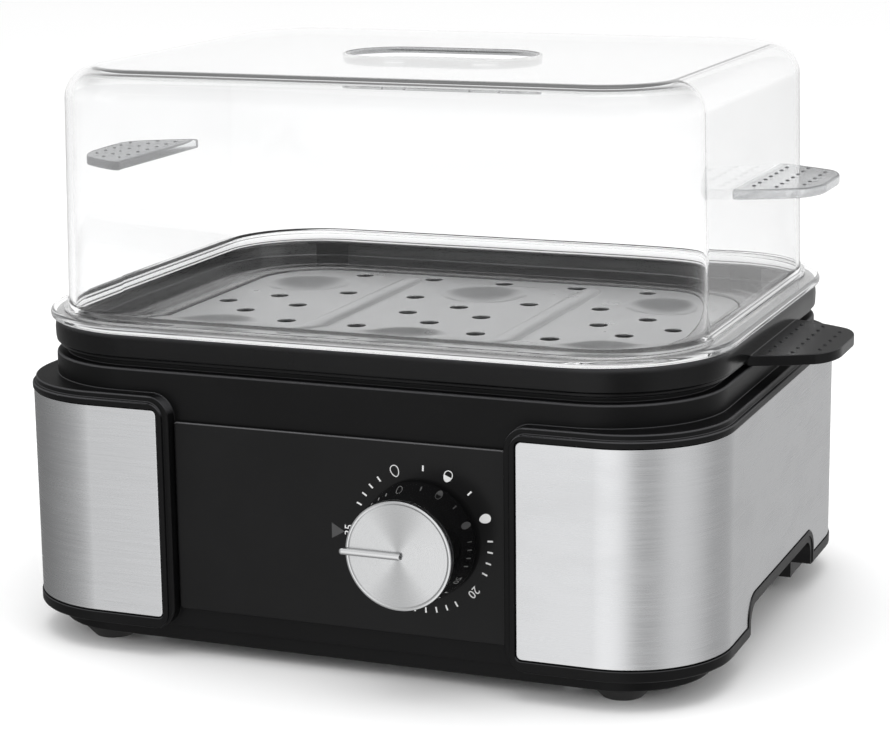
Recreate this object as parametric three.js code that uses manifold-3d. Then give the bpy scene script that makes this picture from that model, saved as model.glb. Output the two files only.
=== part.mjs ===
// Electric egg cooker: a base with brushed steel side wraps and a rotary timer, a lift-out egg tray
// with a perforated steel plate, and a clear lid. Millimetres, +Z up, the knob faces -Y.
// The origin is on the table under the middle of the model's bounding box.
import * as THREE from "three";
import { mergeVertices } from "three/addons/utils/BufferGeometryUtils.js";
import Module from "manifold-3d";

const wasm = await Module();
wasm.setup();

// ---- Driving dimensions -------------------------------------------------------------------------
const GAP = 0.3; // clearance between pieces that rest on each other
const ARC_STEPS = 3; // half the number of chords in a quarter-round corner

// Base: outlines are half widths, half depths and corner radii.
const BASE = { halfX: 128, halfY: 104.5, radius: 37 };
const CORE = { halfX: 122.5, halfY: 98.7, radius: 41 };
const SKIRT = { halfX: 120.2, halfY: 96.7, radius: 30 };
const SEAT_RING = { halfX: 119, halfY: 95.2, radius: 38 };
const Z_SKIRT = 4.7;
const Z_BAND = 10.5;
const Z_STEEL_LOW = 14.4;
const Z_STEEL_HIGH = 88.6;
const Z_FRAME_TOP = 93;
const Z_DECK = 101;
const Z_SEAT = 102.7;
const FRAME_INNER_X = 60.5; // where each steel panel's black frame starts, front and back
const STEEL_INNER_X = 64.5;
const FRAME_RADIUS = 8;
const STEEL_RADIUS = 3;
const STEEL_INSET = 0.4;
const STEEL_THICKNESS = 0.8;

// Finger recess in the foot of each side.
const GRIP = { halfY: 43, top: 20.8, inner: 104.5, band: 4, wall: 2.2, radius: 5 };

// Front and rear panels.
const PANEL = { halfX: 60.1, low: 17.6, high: 84.1, face: 100.5, thickness: 1.4, radius: 1.5 };

// Feet and the screws under the base.
const FOOT = { x: 95, y: 84, topRadius: 11, bottomRadius: 7.5 };
const POST = { x: 78, y: 84, radius: 4.5, bore: 1.7, low: 8, high: 60 };

// Heating bowl under the tray.
const BOWL = { halfX: 108.5, halfY: 85, radius: 29, low: 77, thickness: 1.2 };
const BOWL_FLANGE = { halfX: 114, halfY: 90.4, radius: 34 };
const Z_REBATE = 99.5;

// Inlet bush in the middle of the rear panel.
const INLET = { z: 30, hole: 6.5, neck: 6.1, flange: 8.6, bore: 3.8 };

// Timer and knob.
const KNOB = { x: 30.6, z: 51.4, radius: 18.5, back: 102, face: 120.5, rim: 121.1 };
const SHAFT_RADIUS = 3;
const POINTER = { radius: 1.2, reach: 20.5, y: 121.5 };

// Egg tray.
const TRAY = { halfX: 123.3, halfY: 99.2, radius: 43 };
const TRAY_OPENING = { halfX: 118.4, halfY: 94.0, radius: 39 };
const Z_TRAY = { low: 103, step: 104.4, top: 113 };
const LEDGE = { outerZ: 107.6, innerZ: 106.4, seatZ: 104.6 };
const PLATE = { halfX: 95.5, halfY: 71, radius: 27, top: 106, thickness: 1.1 };
const COLUMN_X = 73.3; // centre to centre of the three columns of egg places
const DIMPLE = { y: 41, radius: 15.2, depth: 3 };
const HOLE_RADIUS = 3.4;
const RIB = { x: 36.65, halfWidth: 4, halfLength: 61, height: 1.2 };
const TAB = { root: 32.5, tip: 21, tipRadius: 8 };
const TRAY_TAB = { reach: 149, top: 105.6, thickness: 3.6 };

// Lid.
const LID_FLANGE = { halfX: 124.7, halfY: 103.2, radius: 48 };
const LID_FOOT = { halfX: 116.6, halfY: 95.5, radius: 36 };
const LID_DRAFT = 1.8;
const LID_WALL = 2.3;
const Z_LID = { low: 113.3, flange: 117.3, top: 201 };
const LID_EDGE_RADIUS = 11;
const LID_TAB = { reach: 142.5, z: 158.3, thickness: 3.4 };
const LID_RECESS = { halfLength: 35.5, halfWidth: 17.5, depth: 3.2, steamX: 16.8, steamRadius: 3.2 };

const FRONT_MOST = POINTER.y + POINTER.radius;
const Y_SHIFT = (FRONT_MOST - BASE.halfY) / 2; // centres the bounding box on the origin

// ---- Materials ----------------------------------------------------------------------------------
function finish(color, roughness, metalness, extra = {}) {
  return new THREE.MeshStandardMaterial({ color, roughness, metalness, ...extra });
}

const blackPlastic = finish(0x1b1b1c, 0.5, 0);
const glossPanel = finish(0x202021, 0.22, 0);
const brushedSteel = finish(0xc4c5c7, 0.3, 1);
const plateSteel = finish(0xbfc0c2, 0.34, 1);
const spunMetal = finish(0xd2d3d4, 0.25, 1);
const clearPlastic = finish(0xf4f6f7, 0.05, 0, { transparent: true, opacity: 0.25 });
const greyClear = finish(0xaab0b2, 0.35, 0, { transparent: true, opacity: 0.6 });
const rubber = finish(0x141414, 0.85, 0);
const darkCoat = finish(0x3a3a3c, 0.45, 0.4);
const aluminium = finish(0xb5b6b8, 0.4, 1);
const silicone = finish(0x8d8f90, 0.7, 0);
const ceramic = finish(0xe6e1d6, 0.6, 0);
const screwSteel = finish(0x9fa1a4, 0.35, 1);
const wireSleeve = finish(0xb9a98a, 0.7, 0);

// ---- Solids -------------------------------------------------------------------------------------
function solid(geometry) {
  const bare = geometry.index ? geometry.toNonIndexed() : geometry.clone();
  bare.deleteAttribute("normal");
  bare.deleteAttribute("uv");
  const merged = mergeVertices(bare, 1e-4);
  const source = new wasm.Mesh({
    numProp: 3,
    vertProperties: merged.attributes.position.array,
    triVerts: new Uint32Array(merged.index.array),
  });
  return new wasm.Manifold(source);
}

function geometryOf(body) {
  const made = body.getMesh();
  const geometry = new THREE.BufferGeometry();
  geometry.setAttribute("position", new THREE.BufferAttribute(made.vertProperties, 3));
  geometry.setIndex(new THREE.BufferAttribute(made.triVerts, 1));
  return geometry;
}

function subtractAll(body, cutters) {
  return cutters.reduce((left, cutter) => left.subtract(cutter), body);
}

function addAll(bodies) {
  return bodies.reduce((left, body) => left.add(body));
}

const group = new THREE.Group();
const model = new THREE.Group();
model.position.y = Y_SHIFT;
group.add(model);

function place(name, shape, material, position = [0, 0, 0]) {
  const geometry = shape.isBufferGeometry ? shape : geometryOf(shape);
  const mesh = new THREE.Mesh(geometry, material);
  mesh.name = name;
  mesh.position.set(...position);
  model.add(mesh);
  return mesh;
}

// A rounded rectangle about the origin, drawn anticlockwise.
function roundedRect(halfX, halfY, radius) {
  const shape = new THREE.Shape();
  shape.absarc(halfX - radius, halfY - radius, radius, 0, Math.PI / 2);
  shape.absarc(radius - halfX, halfY - radius, radius, Math.PI / 2, Math.PI);
  shape.absarc(radius - halfX, radius - halfY, radius, Math.PI, 1.5 * Math.PI);
  shape.absarc(halfX - radius, radius - halfY, radius, 1.5 * Math.PI, 2 * Math.PI);
  shape.closePath();
  return shape;
}

function inset(outline, amount) {
  return {
    halfX: outline.halfX - amount,
    halfY: outline.halfY - amount,
    radius: Math.max(outline.radius - amount, 0.5),
  };
}

// A closed stack of rounded-rectangle outlines, each at its own height.
function loft(levels, arcSteps = ARC_STEPS) {
  const rings = levels.map(({ outline, z }) => {
    const flat = roundedRect(outline.halfX, outline.halfY, outline.radius).getPoints(arcSteps);
    if (flat[0].distanceTo(flat[flat.length - 1]) < 1e-6) flat.pop();
    return flat.map((point) => [point.x, point.y, z]);
  });
  const count = rings[0].length;
  const faces = [];
  for (let side = 0; side < count; side++) {
    const next = (side + 1) % count;
    for (let level = 0; level + 1 < rings.length; level++) {
      const [low, high] = [rings[level], rings[level + 1]];
      faces.push(low[side], low[next], high[next]);
      faces.push(low[side], high[next], high[side]);
    }
  }
  const [bottom, top] = [rings[0], rings[rings.length - 1]];
  for (let side = 1; side + 1 < count; side++) {
    faces.push(bottom[0], bottom[side + 1], bottom[side]);
    faces.push(top[0], top[side], top[side + 1]);
  }
  const geometry = new THREE.BufferGeometry();
  geometry.setAttribute("position", new THREE.Float32BufferAttribute(faces.flat(), 3));
  return solid(geometry);
}

function slab(outline, low, high, arcSteps) {
  return loft([{ outline, z: low }, { outline, z: high }], arcSteps);
}

function box(x0, x1, y0, y1, z0, z1) {
  const geometry = new THREE.BoxGeometry(x1 - x0, y1 - y0, z1 - z0);
  geometry.translate((x0 + x1) / 2, (y0 + y1) / 2, (z0 + z1) / 2);
  return solid(geometry);
}

function extrude(shape, depth, arcSteps = ARC_STEPS) {
  return new THREE.ExtrudeGeometry(shape, { depth, bevelEnabled: false, curveSegments: 2 * arcSteps });
}

// Extrudes an outline drawn in X and Z from y0 to y1.
function throughY(shape, y0, y1, arcSteps) {
  const geometry = extrude(shape, y1 - y0, arcSteps);
  geometry.rotateX(Math.PI / 2);
  geometry.translate(0, y1, 0);
  return solid(geometry);
}

// Extrudes an outline drawn in Y and Z from x0 to x1.
function throughX(shape, x0, x1, arcSteps) {
  const geometry = extrude(shape, x1 - x0, arcSteps);
  geometry.rotateX(Math.PI / 2);
  geometry.rotateZ(Math.PI / 2);
  geometry.translate(x0, 0, 0);
  return solid(geometry);
}

function rod(radius, length, segments = 20, endRadius = radius) {
  return new THREE.CylinderGeometry(endRadius, radius, length, segments);
}

function rodX(radius, x0, x1, y, z, segments) {
  const geometry = rod(radius, x1 - x0, segments);
  geometry.rotateZ(-Math.PI / 2);
  geometry.translate((x0 + x1) / 2, y, z);
  return solid(geometry);
}

function rodY(radius, y0, y1, x, z, segments) {
  const geometry = rod(radius, y1 - y0, segments);
  geometry.translate(x, (y0 + y1) / 2, z);
  return solid(geometry);
}

function rodZ(radius, z0, z1, x, y, segments, endRadius = radius) {
  const geometry = rod(radius, z1 - z0, segments, endRadius);
  geometry.rotateX(Math.PI / 2);
  geometry.translate(x, y, (z0 + z1) / 2);
  return solid(geometry);
}

// A turned piece whose profile runs anticlockwise in (radius, height), its axis along -Y.
function turnedAlongMinusY(profile, segments) {
  const points = profile.map(([radius, height]) => new THREE.Vector2(radius, height));
  const geometry = new THREE.LatheGeometry(points, segments);
  geometry.rotateX(Math.PI);
  return solid(geometry);
}

function tube(points, radius, steps, sides) {
  const section = new THREE.Shape();
  section.absarc(0, 0, radius, 0, 2 * Math.PI);
  const path = new THREE.CatmullRomCurve3(points.map((point) => new THREE.Vector3(...point)));
  return new THREE.ExtrudeGeometry(section, {
    steps,
    bevelEnabled: false,
    extrudePath: path,
    curveSegments: sides / 2,
  });
}

const SIDES = [
  { name: "left", sign: -1 },
  { name: "right", sign: 1 },
];
const CORNERS = [
  { name: "front_left", x: -1, y: -1 },
  { name: "front_right", x: 1, y: -1 },
  { name: "rear_left", x: -1, y: 1 },
  { name: "rear_right", x: 1, y: 1 },
];

// ---- Base shell ---------------------------------------------------------------------------------
// A block that keeps only what lies outside x = innerX on one side, with rounded inner corners.
function sideMask(sign, innerX, low, high, radius, margin = 0) {
  const outerX = BASE.halfX + 20;
  const middle = (innerX + margin + outerX) / 2;
  const shape = roundedRect(
    (outerX - innerX - margin) / 2,
    (high - low) / 2 - margin,
    radius,
  );
  const mask = throughY(shape, -BASE.halfY - 5, BASE.halfY + 5, 2);
  return mask.translate([sign * middle, 0, (low + high) / 2]);
}

function gripCutter(sign, margin, from, to) {
  const depth = to - from;
  const height = 2 * (GRIP.top + margin);
  const shape = roundedRect(GRIP.halfY + margin, height / 2, GRIP.radius);
  const x0 = sign > 0 ? from : -to;
  return throughX(shape, x0, x0 + depth, 2);
}

function sideFrames() {
  const band = loft([
    { outline: inset(BASE, 0.8), z: Z_BAND },
    { outline: BASE, z: Z_BAND + 1 },
    { outline: BASE, z: Z_FRAME_TOP - 2.5 },
    { outline: inset(BASE, 2.2), z: Z_FRAME_TOP },
  ]);
  const halves = SIDES.map(({ sign }) =>
    band.intersect(sideMask(sign, FRAME_INNER_X, Z_BAND, Z_FRAME_TOP, FRAME_RADIUS)),
  );
  return addAll(halves);
}

function steelRecess(sign, margin) {
  const depth = STEEL_INSET + STEEL_THICKNESS + GAP;
  const ring = slab(inset(BASE, -6), Z_STEEL_LOW, Z_STEEL_HIGH).subtract(
    slab(inset(BASE, depth), Z_STEEL_LOW - 1, Z_STEEL_HIGH + 1),
  );
  const masked = ring.intersect(
    sideMask(sign, STEEL_INNER_X, Z_STEEL_LOW, Z_STEEL_HIGH, STEEL_RADIUS, margin),
  );
  return masked.subtract(gripCutter(sign, GRIP.band, 90, 140));
}

function innerSpace() {
  const lower = slab(inset(SKIRT, 3), 0, Z_BAND + 1.5);
  const upper = slab(inset(CORE, 3), Z_BAND + 1, Z_DECK - 4.5);
  const behindSteel = SIDES.map(({ sign }) =>
    slab(inset(BASE, 3.9), Z_BAND + 2.5, Z_STEEL_HIGH - 2).intersect(
      sideMask(sign, STEEL_INNER_X + 2.5, Z_BAND + 2.5, Z_STEEL_HIGH - 2, STEEL_RADIUS),
    ),
  );
  return addAll([lower, upper, ...behindSteel]);
}

// A screw post in each corner, tied to the front or rear wall by a web.
function screwPosts() {
  return CORNERS.map(({ x, y }) => {
    const post = rodZ(POST.radius, POST.low, POST.high, x * POST.x, y * POST.y, 10);
    const edges = [y * POST.y, y * (CORE.halfY - 2)].sort((a, b) => a - b);
    const web = box(x * POST.x - 1.5, x * POST.x + 1.5, ...edges, POST.low + 4, POST.high);
    return post.add(web);
  });
}

function housingShell() {
  const core = slab(CORE, Z_BAND, Z_DECK);
  const skirt = loft([
    { outline: inset(SKIRT, 0.8), z: Z_SKIRT },
    { outline: SKIRT, z: Z_SKIRT + 1 },
    { outline: SKIRT, z: Z_BAND + 0.5 },
  ]);
  const seatRing = slab(SEAT_RING, Z_DECK - 1, Z_SEAT);
  const body = addAll([core, skirt, seatRing, sideFrames()]);
  const liners = SIDES.map(({ sign }) => {
    const from = GRIP.inner - GRIP.wall;
    const reach = slab(SKIRT, Z_SKIRT, Z_BAND + 1).add(slab(inset(BASE, 2), Z_BAND + 0.5, 60));
    return gripCutter(sign, GRIP.wall, from, BASE.halfX).intersect(reach);
  });
  const shell = body.subtract(innerSpace()).add(addAll(liners));
  const posts = addAll(screwPosts());
  const cuts = [
    slab(inset(BOWL, -0.4), 60, Z_SEAT + 1),
    slab(inset(BOWL_FLANGE, -0.4), Z_REBATE, Z_SEAT + 1),
    ...SIDES.map(({ sign }) => steelRecess(sign, 0)),
    ...SIDES.map(({ sign }) => gripCutter(sign, 0, GRIP.inner, 140)),
    rodY(5, -110, -80, KNOB.x, KNOB.z, 16),
    rodY(INLET.hole, 80, 110, 0, INLET.z, 16),
    ...CORNERS.map(({ x, y }) => rodZ(POST.bore, 0, 40, x * POST.x, y * POST.y, 8)),
  ];
  return subtractAll(shell.add(posts), cuts);
}

place("housing_shell", housingShell(), blackPlastic);

function steelWrap(sign) {
  const inner = STEEL_INSET + STEEL_THICKNESS;
  const sheet = slab(inset(BASE, STEEL_INSET), Z_STEEL_LOW + GAP, Z_STEEL_HIGH - GAP).subtract(
    slab(inset(BASE, inner), Z_STEEL_LOW - 1, Z_STEEL_HIGH + 1),
  );
  const masked = sheet.intersect(
    sideMask(sign, STEEL_INNER_X, Z_STEEL_LOW, Z_STEEL_HIGH, STEEL_RADIUS, GAP),
  );
  return masked.subtract(gripCutter(sign, GRIP.band + GAP, 90, 140));
}

for (const { name, sign } of SIDES) {
  place(`steel_wrap_${name}`, steelWrap(sign), brushedSteel);
}

function panelPlate() {
  const middle = (PANEL.low + PANEL.high) / 2;
  const shape = roundedRect(PANEL.halfX, (PANEL.high - PANEL.low) / 2, PANEL.radius);
  return throughY(shape, -PANEL.face, PANEL.thickness - PANEL.face).translate([0, 0, middle]);
}

place("front_panel", panelPlate().subtract(rodY(4.6, -110, -90, KNOB.x, KNOB.z, 24)), glossPanel);
place(
  "rear_panel",
  panelPlate().rotate([0, 0, 180]).subtract(rodY(INLET.hole, 90, 110, 0, INLET.z, 24)),
  glossPanel,
);

// ---- Underside ----------------------------------------------------------------------------------
const COVER_LOW = 5;
const COVER_HIGH = 7.2;

function bottomCover() {
  const pan = loft([
    { outline: inset(SKIRT, 5), z: COVER_LOW },
    { outline: inset(SKIRT, 3.5), z: COVER_LOW + 1.4 },
    { outline: inset(SKIRT, 3.5), z: COVER_HIGH },
  ]);
  const clear = 0.4;
  const cuts = SIDES.map(({ sign }) => {
    const from = GRIP.inner - GRIP.wall - clear;
    return gripCutter(sign, GRIP.wall + clear, from, 140);
  });
  const screws = CORNERS.map(({ x, y }) => rodZ(2, 0, 20, x * POST.x, y * POST.y, 8));
  const vents = [];
  for (let row = -3; row <= 3; row++) {
    vents.push(box(-26, 26, row * 9 - 1.5, row * 9 + 1.5, 0, 20));
  }
  return subtractAll(pan, [...cuts, ...screws, ...vents]);
}

place("bottom_cover", bottomCover(), blackPlastic);

for (const { name, x, y } of CORNERS) {
  const height = COVER_LOW - GAP;
  const foot = rodZ(FOOT.bottomRadius, 0, height, 0, 0, 20, FOOT.topRadius);
  place(`foot_${name}`, foot, rubber, [x * FOOT.x, y * FOOT.y, 0]);
}

function coverScrew() {
  const head = rodZ(3.2, 0, 1.8, 0, 0, 12);
  const shank = rodZ(1.35, 1.5, 16, 0, 0, 6);
  const slot = box(-2.2, 2.2, -0.4, 0.4, -1, 0.9);
  const crossSlot = box(-0.4, 0.4, -2.2, 2.2, -1, 0.9);
  return head.add(shank).subtract(slot).subtract(crossSlot);
}

for (const { name, x, y } of CORNERS) {
  place(`cover_screw_${name}`, coverScrew(), screwSteel, [x * POST.x, y * POST.y, COVER_LOW - GAP - 1.8]);
}

// ---- Heating bowl -------------------------------------------------------------------------------
function heatingBowl() {
  const flange = slab(inset(BOWL_FLANGE, 0.3), Z_REBATE + 1.6, Z_REBATE + 2.8);
  const bowlLevels = (amount, drop, top) => [
    { outline: inset(BOWL, 14 + amount), z: BOWL.low + drop },
    { outline: inset(BOWL, 6 + amount), z: BOWL.low + 2 + drop },
    { outline: inset(BOWL, 2.5 + amount), z: BOWL.low + 8 + drop },
    { outline: inset(BOWL, 0.6 + amount), z: top },
  ];
  const outer = loft(bowlLevels(0, 0, Z_REBATE + 2.8));
  const inner = loft(bowlLevels(BOWL.thickness, BOWL.thickness, Z_REBATE + 4));
  return flange.add(outer).subtract(inner);
}

place("water_bowl", heatingBowl(), darkCoat);

const sealRing = slab(inset(BOWL_FLANGE, 0.6), Z_REBATE + GAP, Z_REBATE + 1.3).subtract(
  slab(inset(BOWL_FLANGE, 4.2), Z_REBATE, Z_REBATE + 2),
);
place("bowl_seal", sealRing, silicone);

const HEAT_PLATE_TOP = BOWL.low - GAP;
const SPREADER = { radius: 54, thickness: 2.5 };
const SENSOR_TOP = HEAT_PLATE_TOP - SPREADER.thickness - GAP;
// A sheathed ring element whose two cold ends run out towards the back.
const ELEMENT = { ringRadius: 44, radius: 3.2, opening: 0.32, tail: 12, centreY: 6 };

function elementPoints() {
  const { ringRadius, radius, opening, tail, centreY } = ELEMENT;
  const z = SENSOR_TOP - radius;
  const endX = ringRadius * Math.sin(opening);
  const endY = centreY + ringRadius * Math.cos(opening) + tail;
  const points = [[endX, endY, z]];
  const arcs = 14;
  for (let step = 0; step <= arcs; step++) {
    const angle = opening + ((2 * Math.PI - 2 * opening) * step) / arcs;
    points.push([ringRadius * Math.sin(angle), centreY + ringRadius * Math.cos(angle), z]);
  }
  points.push([-endX, endY, z]);
  return points;
}

const spreaderLow = HEAT_PLATE_TOP - SPREADER.thickness;
place(
  "heat_spreader",
  rodZ(SPREADER.radius, spreaderLow, HEAT_PLATE_TOP, 0, ELEMENT.centreY, 32),
  aluminium,
);
place("heating_element", tube(elementPoints(), ELEMENT.radius, 36, 8), aluminium);

const SHIELD_TOP = SENSOR_TOP - 2 * ELEMENT.radius - GAP - 2;
const shield = rodZ(38, SHIELD_TOP - 1, SHIELD_TOP, 0, ELEMENT.centreY, 24).subtract(
  rodZ(13, SHIELD_TOP - 3, SHIELD_TOP + 3, 0, ELEMENT.centreY, 16),
);
place("heat_shield", shield, aluminium);

const thermostat = addAll([
  rodZ(8, SENSOR_TOP - 7, SENSOR_TOP, 0, ELEMENT.centreY, 20),
  box(-11, 11, 3, 9, SENSOR_TOP - 8.5, SENSOR_TOP - 6.8),
  box(-6.5, -4.5, 5.6, 6.4, SENSOR_TOP - 15, SENSOR_TOP - 8),
  box(4.5, 6.5, 5.6, 6.4, SENSOR_TOP - 15, SENSOR_TOP - 8),
]);
place("thermostat", thermostat, ceramic);

const fuse = rodX(2.4, -8, 8, 60, 58, 12).add(rodX(0.7, -16, 16, 60, 58, 8));
place("thermal_fuse", fuse, screwSteel);

const blockBody = box(-22, 22, 66, 82, 8, 22);
const blockCuts = [-14, 0, 14].map((x) => rodY(2.4, 60, 90, x, 15, 12));
place("terminal_block", subtractAll(blockBody, blockCuts), ceramic);

const bush = addAll([
  rodY(INLET.flange, PANEL.face + GAP, PANEL.face + 2.2, 0, INLET.z, 20),
  rodY(INLET.neck, 90, PANEL.face + 1, 0, INLET.z, 16),
  rodY(INLET.flange, 91.2, 95.2, 0, INLET.z, 20),
]).subtract(rodY(INLET.bore, 80, 110, 0, INLET.z, 12));
place("inlet_bush", bush, rubber);

// ---- Timer --------------------------------------------------------------------------------------
const coreInner = -(CORE.halfY - 3);
const bracketFront = coreInner + GAP;
const bracketBack = bracketFront + 1.2;

const bracket = box(KNOB.x - 31, KNOB.x + 31, bracketFront, bracketBack, KNOB.z - 25, KNOB.z + 25);
const screwX = 26;
const bracketCuts = [-1, 1].map((side) =>
  rodY(1.9, -100, -80, KNOB.x + side * screwX, KNOB.z, 12),
);
place(
  "timer_bracket",
  subtractAll(bracket, [...bracketCuts, rodY(4.6, -100, -80, KNOB.x, KNOB.z, 20)]),
  screwSteel,
);

for (const { name, sign } of SIDES) {
  const head = rodY(3, bracketBack + GAP, bracketBack + 2.1, 0, 0, 16);
  const shank = rodY(1.5, bracketFront - 0.2, bracketBack + 1, 0, 0, 12);
  place(`timer_screw_${name}`, head.add(shank), screwSteel, [KNOB.x + sign * screwX, 0, KNOB.z]);
}

const caseFront = bracketBack + GAP;
const timerCase = rodY(22, caseFront, caseFront + 26, KNOB.x, KNOB.z, 36)
  .add(box(KNOB.x - 10, KNOB.x + 10, caseFront + 8, caseFront + 24, KNOB.z - 28, KNOB.z - 18))
  .subtract(rodY(SHAFT_RADIUS + GAP, -100, caseFront + 4, KNOB.x, KNOB.z, 20));
place("timer_case", timerCase, aluminium);

const bellProfile = [
  [0, 8],
  [17, 7],
  [19, 0],
  [20, 0],
  [18, 8],
  [0, 9],
];
const bell = turnedAlongMinusY(bellProfile, 32).rotate([0, 0, 180]);
place("timer_bell", bell, spunMetal, [KNOB.x, caseFront + 26 + GAP, KNOB.z]);

place(
  "timer_shaft",
  rodY(SHAFT_RADIUS, -(KNOB.face - 5), caseFront + 3.6, KNOB.x, KNOB.z, 20),
  screwSteel,
);

// Knob: a glossy moulded cylinder, a spun metal inlay with a raised rim, and a rod pointer.
const inlayBack = KNOB.face - 1.4;
const knobProfile = [
  [0, KNOB.face - 4.4],
  [SHAFT_RADIUS + GAP, KNOB.face - 4.4],
  [SHAFT_RADIUS + GAP, KNOB.back],
  [KNOB.radius - 0.4, KNOB.back],
  [KNOB.radius, KNOB.back + 0.4],
  [KNOB.radius, inlayBack - GAP],
  [0, inlayBack - GAP],
];
place("knob_body", turnedAlongMinusY(knobProfile, 44), blackPlastic, [KNOB.x, 0, KNOB.z]);

const pointerTip = KNOB.x - POINTER.reach;
const pointerBody = rodX(POINTER.radius, pointerTip, KNOB.x + 1, -POINTER.y, KNOB.z, 12);
const inlayProfile = [
  [0, inlayBack],
  [KNOB.radius, inlayBack],
  [KNOB.radius, KNOB.rim - 0.5],
  [KNOB.radius - 0.5, KNOB.rim],
  [KNOB.radius - 1.6, KNOB.rim],
  [KNOB.radius - 2.1, KNOB.face - 0.3],
  [0, KNOB.face],
];
const inlay = turnedAlongMinusY(inlayProfile, 44).translate([KNOB.x, 0, KNOB.z]);
const pointerSeat = rodX(POINTER.radius + GAP, pointerTip - 5, KNOB.x + 1.4, -POINTER.y, KNOB.z, 12);
place("knob_face", inlay.subtract(pointerSeat), spunMetal);
place("knob_pointer", pointerBody, spunMetal);

// ---- Egg tray -----------------------------------------------------------------------------------
// A finger tab in plan: root on the y axis, its rounded tip at x = reach.
function tabOutline(root, reach) {
  const shape = new THREE.Shape();
  const tip = TAB.tip;
  const cornerX = reach - TAB.tipRadius;
  shape.moveTo(root, -TAB.root);
  shape.lineTo(root + 3, -TAB.root);
  shape.quadraticCurveTo(cornerX - 8, -TAB.root + 3, cornerX + 2, -tip - 3);
  shape.quadraticCurveTo(reach, -tip + 2, reach, -tip + 10);
  shape.lineTo(reach, tip - 10);
  shape.quadraticCurveTo(reach, tip - 2, cornerX + 2, tip + 3);
  shape.quadraticCurveTo(cornerX - 8, TAB.root - 3, root + 3, TAB.root);
  shape.lineTo(root, TAB.root);
  shape.closePath();
  return shape;
}

function tab(root, reach, thickness, z) {
  const geometry = extrude(tabOutline(root, reach), thickness, 3);
  geometry.translate(0, 0, z);
  return solid(geometry);
}

function trayFrame() {
  const outer = loft([
    { outline: inset(TRAY, 1.4), z: Z_TRAY.low },
    { outline: inset(TRAY, 1.2), z: Z_TRAY.step },
    { outline: inset(TRAY, 0.3), z: Z_TRAY.step + 0.3 },
    { outline: TRAY, z: 108 },
    { outline: inset(TRAY, 0.5), z: Z_TRAY.top - 0.8 },
    { outline: inset(TRAY, 1.2), z: Z_TRAY.top },
  ]);
  const locator = slab(inset(BOWL, 3.6), 99, Z_TRAY.low + 1);
  const rim = slab(TRAY_OPENING, LEDGE.outerZ, Z_TRAY.top + 1);
  const ledge = loft([
    { outline: inset(PLATE, -0.5), z: LEDGE.innerZ },
    { outline: inset(TRAY_OPENING, 3), z: LEDGE.outerZ - 0.4 },
    { outline: TRAY_OPENING, z: LEDGE.outerZ },
    { outline: TRAY_OPENING, z: LEDGE.outerZ + 1 },
  ]);
  const seat = slab(inset(PLATE, -0.5), LEDGE.seatZ, LEDGE.innerZ + 1);
  const opening = slab(inset(PLATE, 4), 90, 120);
  const tabs = SIDES.map(({ sign }) => {
    const made = tab(TRAY.halfX - 4, TRAY_TAB.reach, TRAY_TAB.thickness, TRAY_TAB.top - TRAY_TAB.thickness);
    return sign > 0 ? made : made.rotate([0, 0, 180]);
  });
  const underside = slab(inset(TRAY_OPENING, 1.5), Z_TRAY.low - 1, LEDGE.seatZ - 1.2).subtract(
    slab(inset(BOWL, 2), Z_TRAY.low - 2, LEDGE.seatZ),
  );
  const body = addAll([outer, locator, ...tabs]);
  const locatorHollow = slab(inset(BOWL, 5.4), 90, LEDGE.seatZ - 1.8);
  return subtractAll(body, [rim, ledge, seat, opening, locatorHollow, underside]);
}

place("tray_frame", trayFrame(), blackPlastic);

// A shallow pressed dish: the cap of a sphere whose rim is the dimple's edge.
function dimpleBall(x, y, drop) {
  const ballRadius = (DIMPLE.radius ** 2 + DIMPLE.depth ** 2) / (2 * DIMPLE.depth);
  const capAngle = Math.asin(Math.min(1, (DIMPLE.radius + drop * 2) / ballRadius));
  const rings = 3;
  const profile = [];
  const low = Math.cos(capAngle) * ballRadius;
  for (let ring = 0; ring <= rings; ring++) {
    const angle = (capAngle * ring) / rings;
    profile.push(new THREE.Vector2(Math.sin(angle) * ballRadius, low - Math.cos(angle) * ballRadius));
  }
  const lip = profile[profile.length - 1];
  profile.push(new THREE.Vector2(lip.x, 3));
  profile.push(new THREE.Vector2(0, 3));
  const geometry = new THREE.LatheGeometry(profile, 18);
  geometry.rotateX(Math.PI / 2);
  geometry.translate(x, y, PLATE.top - drop);
  return solid(geometry);
}

function platePositions() {
  const dimples = [];
  const holes = [];
  for (const x of [-COLUMN_X, 0, COLUMN_X]) {
    for (const y of [-DIMPLE.y, DIMPLE.y]) dimples.push([x, y]);
    holes.push([x - 14.4, 0], [x + 14.4, 0], [x, -14.8], [x, 14.8]);
  }
  for (const rib of [-RIB.x, RIB.x]) {
    for (const side of [-13.8, 13.8]) holes.push([rib + side, -28], [rib + side, 28]);
  }
  for (let column = -2; column <= 2; column++) {
    holes.push([column * 29.4, -63.5], [column * 29.4, 63.5]);
  }
  return { dimples, holes };
}

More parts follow.
